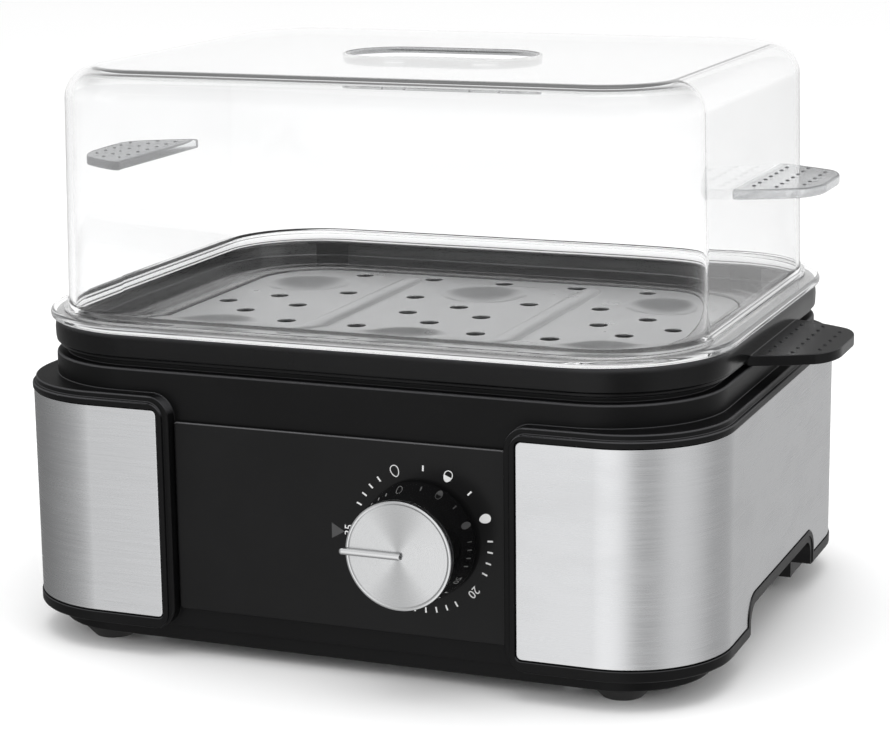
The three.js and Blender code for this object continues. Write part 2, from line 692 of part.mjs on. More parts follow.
function eggPlate() {
  const sheet = loft([
    { outline: inset(PLATE, 0.6), z: PLATE.top - PLATE.thickness },
    { outline: PLATE, z: PLATE.top - PLATE.thickness + 0.3 },
    { outline: PLATE, z: PLATE.top - 0.4 },
    { outline: inset(PLATE, 0.6), z: PLATE.top },
  ]);
  const { dimples, holes } = platePositions();
  const dishes = dimples.map(([x, y]) => {
    const below = dimpleBall(x, y, PLATE.thickness);
    return below.intersect(box(x - 30, x + 30, y - 30, y + 30, 90, PLATE.top - 0.2));
  });
  const hollows = dimples.map(([x, y]) => dimpleBall(x, y, 0));
  const punched = holes.map(([x, y]) => rodZ(HOLE_RADIUS, 95, 115, x, y, 10));
  const ribs = [-RIB.x, RIB.x].map((x) => {
    const outline = { halfX: RIB.halfWidth, halfY: RIB.halfLength, radius: 3.2 };
    return loft(
      [
        { outline, z: PLATE.top - 0.5 },
        { outline, z: PLATE.top },
        { outline: inset(outline, 1.4), z: PLATE.top + RIB.height },
      ],
      2,
    ).translate([x, 0, 0]);
  });
  return subtractAll(addAll([sheet, ...dishes, ...ribs]), [...hollows, ...punched]);
}

place("egg_plate", eggPlate(), plateSteel);

// ---- Lid ----------------------------------------------------------------------------------------
function lidLevels(thickness, foot, top) {
  const drafted = (z) => (LID_DRAFT * (z - Z_LID.flange)) / (Z_LID.top - Z_LID.flange);
  const radius = LID_EDGE_RADIUS - thickness;
  const springing = top - radius;
  const levels = [...foot];
  const rounds = 4;
  for (let step = 0; step <= rounds; step++) {
    const angle = ((Math.PI / 2) * step) / rounds;
    const z = springing + radius * Math.sin(angle);
    const amount = thickness + drafted(z) + radius * (1 - Math.cos(angle));
    levels.push({ outline: inset(LID_FOOT, amount), z });
  }
  return levels;
}

function stadium(halfLength, halfWidth) {
  return { halfX: halfLength, halfY: halfWidth, radius: halfWidth - 0.01 };
}

function lidShell() {
  const flange = loft([
    { outline: inset(LID_FLANGE, 0.5), z: Z_LID.low },
    { outline: LID_FLANGE, z: Z_LID.low + 0.5 },
    { outline: LID_FLANGE, z: Z_LID.flange - 1.2 },
    { outline: inset(LID_FLANGE, 1.2), z: Z_LID.flange },
  ]);
  const outer = loft(
    lidLevels(
      0,
      [
        { outline: inset(LID_FOOT, -1.5), z: Z_LID.flange - 1 },
        { outline: inset(LID_FOOT, -1.5), z: Z_LID.flange },
        { outline: inset(LID_FOOT, 0.1), z: Z_LID.flange + 3 },
      ],
      Z_LID.top,
    ),
  );
  const inner = loft(
    lidLevels(
      LID_WALL,
      [
        { outline: inset(LID_FOOT, LID_WALL - 1.5), z: Z_LID.low - 1 },
        { outline: inset(LID_FOOT, LID_WALL), z: Z_LID.flange + 1 },
      ],
      Z_LID.top - LID_WALL,
    ),
  );
  const recess = LID_RECESS;
  const cup = loft(
    [
      { outline: stadium(recess.halfLength - 1, recess.halfWidth - 1), z: Z_LID.top - recess.depth - LID_WALL },
      { outline: stadium(recess.halfLength + 2, recess.halfWidth + 2), z: Z_LID.top - 1 },
    ],
    6,
  );
  const hollow = loft(
    [
      { outline: stadium(recess.halfLength - 3, recess.halfWidth - 3), z: Z_LID.top - recess.depth },
      { outline: stadium(recess.halfLength, recess.halfWidth), z: Z_LID.top + 0.1 },
    ],
    6,
  );
  const steam = [-1, 1].map((side) =>
    slab(stadium(recess.steamRadius + 1.4, recess.steamRadius), 180, 210, 4).translate([
      side * recess.steamX,
      0,
      0,
    ]),
  );
  const shell = addAll([flange, outer]).subtract(inner).add(cup);
  return subtractAll(shell, [hollow, ...steam]);
}

place("lid_shell", lidShell(), clearPlastic);

const lidWallX = LID_FOOT.halfX - 0.55;
for (const { name, sign } of SIDES) {
  const made = tab(lidWallX, LID_TAB.reach, LID_TAB.thickness, LID_TAB.z);
  place(`lid_tab_${name}`, sign > 0 ? made : made.rotate([0, 0, 180]), greyClear);
}

// ---- Internal leads -----------------------------------------------------------------------------
const LEADS = {
  lead_timer: [
    [-14, 62.5, 15],
    [-20, 40, 14],
    [-10, -10, 13],
    [20, -40, 14],
    [30, -60, 17.5],
  ],
  lead_element: [
    [14, 62.5, 15],
    [22, 66, 32],
    [18, 70, 56],
    [14, 62, 70.6],
  ],
  lead_sensor: [
    [0, 62.5, 15],
    [4, 40, 24],
    [6, 15, 40],
    [5.5, 6, 56],
  ],
};
for (const [name, points] of Object.entries(LEADS)) {
  place(name, tube(points, 1.4, 9, 6), wireSleeve);
}

export default group;
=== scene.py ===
"""Egg cooker: builds the fine pieces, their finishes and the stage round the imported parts."""

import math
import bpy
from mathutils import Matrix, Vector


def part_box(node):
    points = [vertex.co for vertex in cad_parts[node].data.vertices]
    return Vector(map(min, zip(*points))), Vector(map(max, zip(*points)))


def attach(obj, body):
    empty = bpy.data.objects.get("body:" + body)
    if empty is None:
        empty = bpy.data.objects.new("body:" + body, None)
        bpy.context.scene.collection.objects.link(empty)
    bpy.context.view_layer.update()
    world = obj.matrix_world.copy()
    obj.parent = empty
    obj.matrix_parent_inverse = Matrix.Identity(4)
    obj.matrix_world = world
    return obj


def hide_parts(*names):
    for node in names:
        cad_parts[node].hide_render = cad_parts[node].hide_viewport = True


bl_info = {
    "name": "Egg Cooker",
    "version": (1, 0, 0),
    "blender": (4, 5, 0),
    "location": "View3D > Sidebar > Egg Cooker",
    "description": "Builds an electric egg cooker with its base, knob, egg tray, lid and stage",
    "category": "Object",
}

import bmesh
import bpy
from bpy.props import FloatProperty, FloatVectorProperty, PointerProperty
from bpy.types import Operator, Panel, PropertyGroup
from mathutils import Matrix, Quaternion, Vector

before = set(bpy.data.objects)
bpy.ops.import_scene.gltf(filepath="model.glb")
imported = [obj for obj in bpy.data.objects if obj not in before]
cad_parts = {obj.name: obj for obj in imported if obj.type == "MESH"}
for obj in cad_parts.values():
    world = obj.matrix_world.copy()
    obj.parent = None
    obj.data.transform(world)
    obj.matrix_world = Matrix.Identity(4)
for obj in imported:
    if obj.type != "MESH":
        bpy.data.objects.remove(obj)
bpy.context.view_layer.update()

MERGE_DISTANCE = 1e-6
SMALLEST_RADIUS = 0.0003
CORNER_STEPS = 18
SMALL_CORNER_STEPS = 10
ROUND_STEPS = 5
QUARTER_TURN = math.pi / 2
SIDES = (("left", -1), ("right", 1))
SIGNS = (-1, 1)

# A cutter runs a little past the surface that it opens, or far past it where there is room.
PAST = 0.001
FAR_PAST = 0.01
# The gap that pieces let into each other keep.
FIT = 0.0003

HOUSING_LOW, HOUSING_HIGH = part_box("housing_shell")
TRAY_LOW, TRAY_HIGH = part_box("tray_frame")
PLATE_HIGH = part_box("egg_plate")[1]
LID_LOW, LID_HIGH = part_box("lid_shell")
STEEL_LOW, STEEL_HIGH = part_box("steel_wrap_right")
PANEL_LOW, PANEL_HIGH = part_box("front_panel")
KNOB_LOW, KNOB_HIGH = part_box("knob_body")
FACE_LOW, FACE_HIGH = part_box("knob_face")
POINTER_LOW, POINTER_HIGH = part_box("knob_pointer")
BOWL_LOW, BOWL_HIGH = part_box("water_bowl")
KNOB_CENTRE = (KNOB_LOW + KNOB_HIGH) / 2
CENTRE_Y = (HOUSING_LOW.y + HOUSING_HIGH.y) / 2
CENTRE = Matrix.Translation((0, CENTRE_Y, 0))


# ---- Settings ----------------------------------------------------------------------------------


def length(name, description, default):
    return FloatProperty(name=name, description=description, default=default, unit="LENGTH")


def plan(name, description, half_x, half_y, radius):
    return FloatVectorProperty(
        name=name,
        description=description + ": half width, half depth and corner radius",
        default=(half_x, half_y, radius),
        size=3,
        unit="LENGTH",
    )


def colour(name, description, red, green, blue):
    return FloatVectorProperty(
        name=name,
        description=description,
        default=(red, green, blue),
        size=3,
        min=0,
        max=1,
        subtype="COLOR",
    )


def angle(name, description, degrees):
    return FloatProperty(
        name=name, description=description, default=math.radians(degrees), unit="ROTATION"
    )


class BaseSizes(PropertyGroup):
    corner_radius: length("Corner radius", "Corner radius of the base in plan", 0.037)
    collar: plan("Collar", "Upper body inside the side frames", 0.1225, 0.0987, 0.041)
    skirt: plan("Skirt", "Foot of the body", 0.1202, 0.0967, 0.030)
    seat: plan("Tray seat", "Step that carries the egg tray", 0.119, 0.0952, 0.038)
    band_low: length("Frame underside", "Height of the side frames' underside", 0.0105)
    frame_top: length("Frame top", "Height of the side frames' top", 0.093)
    deck: length("Deck height", "Height of the collar's top", 0.101)
    wall: length("Wall", "Wall thickness of the moulded body", 0.003)
    frame_inner: length("Frame inner edge", "Where each side frame starts", 0.0605)
    frame_radius: length("Frame corner", "Corner radius of each side frame", 0.008)
    step_width: length("Frame step", "Width of the step round each side frame", 0.0021)
    step_drop: length("Frame step drop", "How far that step lies below the frame", 0.0012)
    steel_margin: length("Steel margin", "Black frame shown round the steel", 0.004)
    steel_radius: length("Steel corner", "Corner radius of the steel sheets", 0.002)
    steel_thickness: length("Steel thickness", "Thickness of the steel sheets", 0.0008)
    grip_half: length("Finger recess half width", "Half width of the finger recess", 0.043)
    grip_top: length("Finger recess top", "Height of the finger recess", 0.0208)
    grip_inner: length("Finger recess back", "How far in the recess reaches", 0.1045)
    grip_radius: length("Finger recess corner", "Corner radius of the recess", 0.0065)
    grip_wall: length("Finger recess wall", "Wall of the recess liner", 0.0022)
    bowl: plan("Bowl", "Inside of the heating bowl's rim", 0.1085, 0.085, 0.029)
    bowl_flange: plan("Bowl flange", "Flange of the heating bowl", 0.114, 0.0904, 0.034)
    rebate: length("Flange rebate", "Height of the rebate under the flange", 0.0995)


class KnobSizes(PropertyGroup):
    rim_width: length("Rim width", "Width of the raised rim of the knob face", 0.0011)
    rim_height: length("Rim height", "How far the rim stands above the face", 0.00035)
    flare: length("Barrel flare", "How much wider the barrel is at the panel", 0.0017)
    dial_radius: length("Dial radius", "Radius of the dial marks", 0.0243)
    figure_height: length("Figure height", "Height of the dial figures", 0.0029)
    egg_length: length("Egg mark length", "Length of the egg outlines", 0.0042)
    tick_length: length("Tick length", "Length of the dial ticks", 0.0019)


class TraySizes(PropertyGroup):
    rim: plan("Rim", "Outline of the tray rim", 0.1233, 0.0992, 0.043)
    opening: plan("Opening", "Opening inside the tray rim", 0.1184, 0.094, 0.039)
    plate: plan("Plate", "Outline of the steel plate", 0.0955, 0.071, 0.027)
    rim_low: length("Rim underside", "Height of the rim's underside", 0.103)
    rim_step: length("Rim step", "Height of the thin step round the rim", 0.1044)
    ledge_outer: length("Ledge outer height", "Ledge height at the rim", 0.1076)
    ledge_inner: length("Ledge inner height", "Ledge height at the plate", 0.1064)
    seat: length("Plate seat", "Height of the seat under the plate", 0.1046)
    plate_top: length("Plate top", "Height of the plate's top", 0.106)
    plate_thickness: length("Plate thickness", "Thickness of the plate", 0.0011)
    column: length("Egg spacing in X", "Spacing of the columns of egg places", 0.0733)
    row: length("Egg spacing in Y", "Distance of the rows from the middle", 0.041)
    dish_radius: length("Dish radius", "Radius of the egg dishes", 0.0152)
    dish_depth: length("Dish depth", "Depth of the egg dishes", 0.003)
    hole_radius: length("Hole radius", "Radius of the steam holes", 0.0034)
    tab_root: length("Tab root", "Half width of the finger tabs at the root", 0.0325)
    tab_tip: length("Tab tip", "Half width of the finger tabs at the tip", 0.021)
    tab_top: length("Tab top", "Height of the tray tabs' top", 0.1056)
    tab_thickness: length("Tab thickness", "Thickness of the tray tabs", 0.0036)
    dot_pitch: length("Grip dot pitch", "Spacing of the grip dots", 0.0075)


class LidSizes(PropertyGroup):
    flange: plan("Flange", "Flange that rests on the tray", 0.1247, 0.1032, 0.048)
    foot: plan("Foot", "Wall outline at the foot of the lid", 0.1166, 0.0955, 0.036)
    draft: length("Draft", "How far the walls lean in by the top", 0.0018)
    wall: length("Wall", "Wall thickness of the lid", 0.0023)
    flange_height: length("Flange height", "Height of the flange's top", 0.1162)
    edge_radius: length("Top edge radius", "Radius of the lid's top edge", 0.011)
    recess_half_length: length("Recess half length", "Half length of the top recess", 0.0355)
    recess_half_width: length("Recess half width", "Half width of the top recess", 0.0175)
    recess_depth: length("Recess depth", "Depth of the top recess", 0.0032)
    steam_offset: length("Steam hole offset", "Distance of the steam holes", 0.0168)
    steam_radius: length("Steam hole radius", "Radius of the steam holes", 0.0032)


class FinishColours(PropertyGroup):
    black: colour("Black plastic", "Moulded body and tray", 0.0042, 0.0042, 0.0044)
    panel: colour("Panel", "Front and rear panels", 0.0065, 0.0065, 0.0067)
    steel: colour("Steel", "Brushed sheets", 0.62, 0.625, 0.635)
    plate: colour("Plate", "Perforated egg plate", 0.46, 0.464, 0.468)
    spun: colour("Spun metal", "Knob face and pointer", 0.61, 0.615, 0.62)
    clear: colour("Clear plastic", "Lid", 0.994, 0.995, 0.996)
    grey_clear: colour("Grey clear plastic", "Lid tabs", 0.80, 0.81, 0.82)
    print: colour("Dial print", "Figures and marks", 0.72, 0.72, 0.72)
    zero: colour("Zero mark", "Print of the zero mark", 0.045, 0.045, 0.046)
    # Painted shade: the grip dots are dark grey to stand for the shade they show on the clear tabs.
    dots: colour("Grip dots", "Raised dots on the lid tabs", 0.09, 0.092, 0.095)
    rubber: colour("Rubber", "Feet and inlet bush", 0.012, 0.012, 0.012)
    coating: colour("Bowl coating", "Inside of the heating bowl", 0.010, 0.010, 0.011)
    silicone: colour("Silicone", "Seal under the bowl's flange", 0.27, 0.275, 0.28)
    aluminium: colour("Aluminium", "Inner heating parts", 0.55, 0.555, 0.56)
    ceramic: colour("Ceramic", "Terminal block", 0.78, 0.75, 0.68)
    screw: colour("Screws", "Screws and brackets", 0.42, 0.425, 0.43)
    sleeve: colour("Wire sleeve", "Sleeves of the inner leads", 0.48, 0.40, 0.25)
    floor: colour("Floor", "Floor of the stage", 0.95, 0.95, 0.95)


class StageSettings(PropertyGroup):
    azimuth: angle("Azimuth", "Camera angle round the cooker from the front", 21.66)
    elevation: angle("Elevation", "Camera angle above the table", 12.70)
    roll: angle("Roll", "Camera roll", -0.665)
    distance: length("Distance", "Camera distance from its target", 0.9244)
    target: FloatVectorProperty(
        name="Target",
        description="Point that the camera looks at",
        default=(-0.0002, 0.009, 0.0861),
        size=3,
        subtype="TRANSLATION",
    )
    lens: FloatProperty(name="Lens", description="Focal length in millimetres", default=101.8)


# ---- Shapes ------------------------------------------------------------------------------------


class Outline:
    """A rounded rectangle in plan."""

    def __init__(self, half_x, half_y, radius):
        self.half_x = half_x
        self.half_y = half_y
        self.radius = radius

    def inset(self, amount):
        radius = max(self.radius - amount, SMALLEST_RADIUS)
        return Outline(self.half_x - amount, self.half_y - amount, radius)


def between(first, second, share):
    """An outline part of the way from the first to the second."""
    half_x = first.half_x + (second.half_x - first.half_x) * share
    half_y = first.half_y + (second.half_y - first.half_y) * share
    radius = first.radius + (second.radius - first.radius) * share
    return Outline(half_x, half_y, radius)


def outline_face(bm, outline, height, steps):
    """A level face of the outline, whose corners are rounded in steps."""
    place = Matrix.Translation((0, 0, height))
    place = place @ Matrix.Diagonal((outline.half_x, outline.half_y, 1, 1))
    grid = bmesh.ops.create_grid(bm, x_segments=1, y_segments=1, size=1, matrix=place)
    rounded = bmesh.ops.bevel(
        bm,
        geom=grid["verts"],
        offset=outline.radius,
        offset_type="OFFSET",
        affect="VERTICES",
        segments=steps,
        profile=0.5,
        material=-1,
    )
    return rounded["verts"][0].link_faces[0]


def loft(bm, levels, steps=CORNER_STEPS):
    """A closed stack of outlines, each at its own height."""
    faces = [outline_face(bm, outline, height, steps) for outline, height in levels]
    loops = [list(face.edges) for face in faces]
    bmesh.ops.delete(bm, geom=faces[1:-1], context="FACES_ONLY")
    for lower, upper in zip(loops, loops[1:]):
        bmesh.ops.bridge_loops(bm, edges=lower + upper)


def rounded_levels(outline, low, high, low_round=0.0, high_round=0.0):
    """Levels of a straight block whose lower and upper edges may be rounded."""
    levels = []
    part = QUARTER_TURN / ROUND_STEPS
    if low_round > 0:
        for step in range(ROUND_STEPS):
            turn = step * part
            inset = low_round * (1 - math.sin(turn))
            levels.append((outline.inset(inset), low + low_round * (1 - math.cos(turn))))
    levels.append((outline, low + low_round))
    levels.append((outline, high - high_round))
    if high_round > 0:
        for step in range(1, ROUND_STEPS + 1):
            turn = step * part
            inset = high_round * (1 - math.cos(turn))
            levels.append((outline.inset(inset), high - high_round * (1 - math.sin(turn))))
    return levels


def as_piece(name, bm):
    """Makes the closed shape an object of its own, with its faces pointing out."""
    bmesh.ops.remove_doubles(bm, verts=bm.verts, dist=MERGE_DISTANCE)
    bmesh.ops.recalc_face_normals(bm, faces=bm.faces)
    mesh = bpy.data.meshes.new(name)
    bm.to_mesh(mesh)
    bm.free()
    piece = bpy.data.objects.new(name, mesh)
    bpy.context.scene.collection.objects.link(piece)
    return piece


def block(name, levels, place=CENTRE, steps=CORNER_STEPS):
    """A piece lofted through the levels, standing at the cooker's centre unless placed."""
    bm = bmesh.new()
    loft(bm, levels, steps)
    bm.transform(place)
    return as_piece(name, bm)


# Turns a stack that rises along Z so that it runs along +X, or towards the front along -Y.
ALONG_X = Matrix(((0, 0, 1, 0), (1, 0, 0, 0), (0, 1, 0, 0), (0, 0, 0, 1)))
TOWARDS_FRONT = Matrix.Rotation(math.radians(90), 4, "X")


def turned(name, profile, place, steps):
    """A piece turned about its own Z axis from a few (radius, height) points."""
    bm = bmesh.new()
    verts = [bm.verts.new((radius, 0, height)) for radius, height in profile]
    edges = [bm.edges.new(pair) for pair in zip(verts, verts[1:])]
    bmesh.ops.spin(
        bm,
        geom=verts + edges,
        cent=(0, 0, 0),
        axis=(0, 0, 1),
        angle=2 * math.pi,
        steps=steps,
        use_merge=True,
    )
    bmesh.ops.remove_doubles(bm, verts=bm.verts, dist=MERGE_DISTANCE)
    bm.transform(place)
    return as_piece(name, bm)


def peg(name, radius, low, high, place, steps=32):
    """A plain round cutter along its own Z axis."""
    return turned(name, [(0, low), (radius, low), (radius, high), (0, high)], place, steps)


def combine(piece, other, operation):
    """Joins other to piece or cuts it away, then removes other."""
    modifier = piece.modifiers.new(operation.lower(), "BOOLEAN")
    modifier.operation = operation
    modifier.solver = "MANIFOLD"
    modifier.object = other
    graph = bpy.context.evaluated_depsgraph_get()
    shaped = bpy.data.meshes.new_from_object(piece.evaluated_get(graph))
    before = piece.data
    piece.modifiers.clear()
    piece.data = shaped
    bpy.data.meshes.remove(before)
    spent = other.data
    bpy.data.objects.remove(other)
    bpy.data.meshes.remove(spent)


def join(piece, *others):
    for other in others:
        combine(piece, other, "UNION")
    return piece


def cut(piece, *others):
    for other in others:
        combine(piece, other, "DIFFERENCE")


def keep_inside(piece, other):
    combine(piece, other, "INTERSECT")


def merge_meshes(piece, *others):
    """Puts separate bodies into one object without joining their surfaces."""
    bm = bmesh.new()
    for source in (piece, *others):
        bm.from_mesh(source.data)
    bm.to_mesh(piece.data)
    bm.free()
    for source in others:
        spent = source.data
        bpy.data.objects.remove(source)
        bpy.data.meshes.remove(spent)


def soften(piece, width=0.0, segments=3, limit=38):
    """Smooth shading with a small rounding on each sharp edge."""
    piece.data.shade_smooth()
    if width > 0:
        bevel = piece.modifiers.new("soft_edges", "BEVEL")
        bevel.width = width
        bevel.segments = segments
        bevel.limit_method = "ANGLE"
        bevel.angle_limit = math.radians(limit)
        bevel.use_clamp_overlap = False
        bevel.harden_normals = False
    else:
        piece.data.set_sharp_from_angle(angle=math.radians(limit))
    weighted = piece.modifiers.new("weighted_normals", "WEIGHTED_NORMAL")
    weighted.keep_sharp = True


def install(piece, body, slot, material, *stands_for):
    """Finishes a piece, and puts it on its body in place of the named parts."""
    piece.data.materials.clear()
    piece.data.materials.append(material)
    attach(piece, body)
    if stands_for:
        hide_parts(*stands_for)


# ---- Shader helpers ----------------------------------------------------------------------------


def add(tree, kind, **settings):
    made = tree.nodes.new(kind)
    for name, value in settings.items():
        setattr(made, name, value)
    return made


def feed(tree, target, value):
    """Links an output to the socket, or sets the socket's own value."""
    if isinstance(value, bpy.types.NodeSocket):
        tree.links.new(value, target)
    else:
        target.default_value = value


def object_space(tree, stretch=(1, 1, 1)):
    place = add(tree, "ShaderNodeTexCoord")
    mapping = add(tree, "ShaderNodeMapping")
    mapping.inputs["Scale"].default_value = stretch
    tree.links.new(place.outputs["Object"], mapping.inputs["Vector"])
    return mapping.outputs["Vector"]


def noise(tree, vector, scale, detail=2.0, roughness=0.5):
    made = add(tree, "ShaderNodeTexNoise")
    tree.links.new(vector, made.inputs["Vector"])
    feed(tree, made.inputs["Scale"], scale)
    made.inputs["Detail"].default_value = detail
    made.inputs["Roughness"].default_value = roughness
    return made.outputs["Fac"]


def remap(tree, value, low, high, to_low=0.0, to_high=1.0):
    made = add(tree, "ShaderNodeMapRange")
    feed(tree, made.inputs["Value"], value)
    made.inputs["From Min"].default_value = low
    made.inputs["From Max"].default_value = high
    feed(tree, made.inputs["To Min"], to_low)
    feed(tree, made.inputs["To Max"], to_high)
    return made.outputs["Result"]


def maths(tree, operation, first, second=0.0):
    made = add(tree, "ShaderNodeMath", operation=operation)
    feed(tree, made.inputs[0], first)
    feed(tree, made.inputs[1], second)
    return made.outputs["Value"]


def blend_colours(tree, mask, first, second):
    made = add(tree, "ShaderNodeMix", data_type="RGBA")
    feed(tree, made.inputs["Factor"], mask)
    feed(tree, made.inputs["A"], (*first, 1) if isinstance(first, tuple) else first)
    feed(tree, made.inputs["B"], (*second, 1) if isinstance(second, tuple) else second)
    return made.outputs["Result"]


def new_group(name, inputs, outputs):
    tree = bpy.data.node_groups.new(name, "ShaderNodeTree")
    for label, default in inputs:
        socket = tree.interface.new_socket(label, in_out="INPUT", socket_type="NodeSocketFloat")
        socket.default_value = default
    for label in outputs:
        tree.interface.new_socket(label, in_out="OUTPUT", socket_type="NodeSocketFloat")
    return tree, tree.nodes.new("NodeGroupInput"), tree.nodes.new("NodeGroupOutput")


def place_group(tree, group, **values):
    made = add(tree, "ShaderNodeGroup", node_tree=group)
    for label, value in values.items():
        made.inputs[label.replace("_", " ")].default_value = value
    return made


def grey(level):
    return (level, level, level)


def shade(colour_value, factor):
    return tuple(min(1.0, channel * factor) for channel in colour_value)


# ---- Shared effects ----------------------------------------------------------------------------


def grain_group():
    """Moulded grain: fine pits with slow changes of tone."""
    group, inputs, outputs = new_group(
        "moulded_grain", [("Grain", 2600.0), ("Patches", 28.0)], ["Height", "Tone"]
    )
    space = object_space(group)
    fine = noise(group, space, inputs.outputs["Grain"], 3.0, 0.6)
    broad = noise(group, space, inputs.outputs["Patches"], 3.0, 0.55)
    group.links.new(remap(group, fine, 0.3, 0.7), outputs.inputs["Height"])
    group.links.new(remap(group, broad, 0.3, 0.7), outputs.inputs["Tone"])
    return group


def handling_group():
    """Handling marks: wiped smears and fine dust specks."""
    group, inputs, outputs = new_group(
        "handling_marks", [("Smear Size", 18.0), ("Speck Size", 900.0)], ["Smears", "Specks"]
    )
    smear = noise(group, object_space(group, (1, 1, 2.6)), inputs.outputs["Smear Size"], 4.0, 0.6)
    group.links.new(remap(group, smear, 0.46, 0.68), outputs.inputs["Smears"])
    speck = noise(group, object_space(group), inputs.outputs["Speck Size"], 1.0, 0.4)
    group.links.new(remap(group, speck, 0.72, 0.80), outputs.inputs["Specks"])
    return group


def brushed_group():
    """Long hair lines that run level round the piece."""
    group, inputs, outputs = new_group("brushed_lines", [("Fineness", 1.0)], ["Height", "Tone"])
    fine = noise(group, object_space(group, (70, 70, 4200)), inputs.outputs["Fineness"], 2.0, 0.6)
    broad = noise(group, object_space(group, (22, 22, 1500)), inputs.outputs["Fineness"], 2.0, 0.6)
    group.links.new(remap(group, fine, 0.25, 0.75), outputs.inputs["Height"])
    both = maths(group, "ADD", maths(group, "MULTIPLY", fine, 0.6), maths(group, "MULTIPLY", broad, 0.4))
    group.links.new(remap(group, both, 0.3, 0.7), outputs.inputs["Tone"])
    return group


def lathe_rings_and_painted_fans_group():
    """Fine rings left by the lathe on the knob face, centred on the knob, and a painted reflection: darker
    fans above and below its centre.
    """
    group, inputs, outputs = new_group("turned_lines_and_painted_fans", [("Fineness", 9000.0)], ["Height", "Tone", "Painted Fans"])
    place = add(group, "ShaderNodeTexCoord")
    centred = add(group, "ShaderNodeVectorMath", operation="SUBTRACT")
    group.links.new(place.outputs["Object"], centred.inputs[0])
    centred.inputs[1].default_value = KNOB_CENTRE
    flat = add(group, "ShaderNodeVectorMath", operation="MULTIPLY")
    group.links.new(centred.outputs["Vector"], flat.inputs[0])
    flat.inputs[1].default_value = (1, 0, 1)
    reach = add(group, "ShaderNodeVectorMath", operation="LENGTH")
    group.links.new(flat.outputs["Vector"], reach.inputs[0])
    ring = add(group, "ShaderNodeTexNoise", noise_dimensions="1D")
    group.links.new(reach.outputs["Value"], ring.inputs["W"])
    group.links.new(inputs.outputs["Fineness"], ring.inputs["Scale"])
    ring.inputs["Detail"].default_value = 2.0
    group.links.new(remap(group, ring.outputs["Fac"], 0.25, 0.75), outputs.inputs["Height"])
    group.links.new(remap(group, ring.outputs["Fac"], 0.3, 0.7), outputs.inputs["Tone"])
    split = add(group, "ShaderNodeSeparateXYZ")
    group.links.new(flat.outputs["Vector"], split.inputs["Vector"])
    height = maths(group, "ABSOLUTE", split.outputs["Z"])
    lean = maths(group, "DIVIDE", height, reach.outputs["Value"])
    # Painted reflection: a fan that grows towards straight above and below the centre.
    painted_fan = remap(group, lean, 0.72, 1.0)
    group.links.new(maths(group, "POWER", painted_fan, 1.5), outputs.inputs["Painted Fans"])
    return group


def painted_edge_group():
    """Painted sheen: the colour is made lighter on rounded edges, where the surface turns from upright to
    level.
    """
    group, inputs, outputs = new_group("painted_edge_sheen", [("Amount", 1.0)], ["Edge"])
    surface = add(group, "ShaderNodeNewGeometry")
    split = add(group, "ShaderNodeSeparateXYZ")
    group.links.new(surface.outputs["Normal"], split.inputs["Vector"])
    rising = remap(group, split.outputs["Z"], 0.2, 0.5)
    falling = remap(group, split.outputs["Z"], 0.97, 0.75)
    mask = maths(group, "MULTIPLY", rising, falling)
    group.links.new(maths(group, "MULTIPLY", mask, inputs.outputs["Amount"]), outputs.inputs["Edge"])
    return group


# ---- Materials ---------------------------------------------------------------------------------

MOULD_GRAIN_DEPTH = 0.00004
HAIR_LINE_DEPTH = 0.00002
SMEAR_DEPTH = 0.0001
SMEAR_BUMP = 0.02
DUST_SHARE = 0.25
# Painted highlight: how many times lighter the colour is on rounded edges.
PAINTED_EDGE_BRIGHTNESS = 14


class Finish:
    """One material round a Principled shader, with its patterns linked in."""

    def __init__(self, name):
        self.name = name
        self.material = bpy.data.materials.new(name)
        self.material.use_nodes = True
        self.tree = self.material.node_tree
        self.shader = self.tree.nodes["Principled BSDF"]

    def set(self, **values):
        for label, value in values.items():
            self.shader.inputs[label.replace("_", " ")].default_value = value

    def colour_from(self, mask, first, second):
        made = blend_colours(self.tree, mask, first, second)
        self.tree.links.new(made, self.shader.inputs["Base Color"])
        return made

    def roughness_from(self, mask, low, high):
        made = remap(self.tree, mask, 0, 1, low, high)
        self.tree.links.new(made, self.shader.inputs["Roughness"])

    def bump_from(self, height, strength, distance):
        made = add(self.tree, "ShaderNodeBump")
        made.inputs["Strength"].default_value = strength
        made.inputs["Distance"].default_value = distance
        self.tree.links.new(height, made.inputs["Height"])
        self.tree.links.new(made.outputs["Normal"], self.shader.inputs["Normal"])


def moulded(name, base, low, high, bump, grain=2600.0, specular=0.5, edge=0.0):
    """Moulded plastic, rubber or enamel: grain, smears and dust, and, where edge is set, a painted
    highlight on rounded edges.
    """
    finish = Finish(name)
    tree = finish.tree
    grained = place_group(tree, groups["grain"], Grain=grain)
    marks = place_group(tree, groups["marks"])
    first = blend_colours(tree, grained.outputs["Tone"], shade(base, 0.86), shade(base, 1.16))
    dusty = maths(tree, "MULTIPLY", marks.outputs["Specks"], DUST_SHARE)
    body = finish.colour_from(dusty, first, shade(base, 2.2))
    # Painted highlight: rounded edges get a lighter colour.
    if edge > 0:
        sheen = place_group(tree, groups["edge"], Amount=edge)
        finish.colour_from(sheen.outputs["Edge"], body, shade(base, PAINTED_EDGE_BRIGHTNESS))
    worn = maths(tree, "MULTIPLY", marks.outputs["Smears"], 0.6)
    mask = maths(tree, "MAXIMUM", worn, maths(tree, "MULTIPLY", grained.outputs["Tone"], 0.5))
    finish.roughness_from(mask, low, high)
    finish.bump_from(grained.outputs["Height"], bump, MOULD_GRAIN_DEPTH)
    finish.set(Specular_IOR_Level=specular)
    return finish


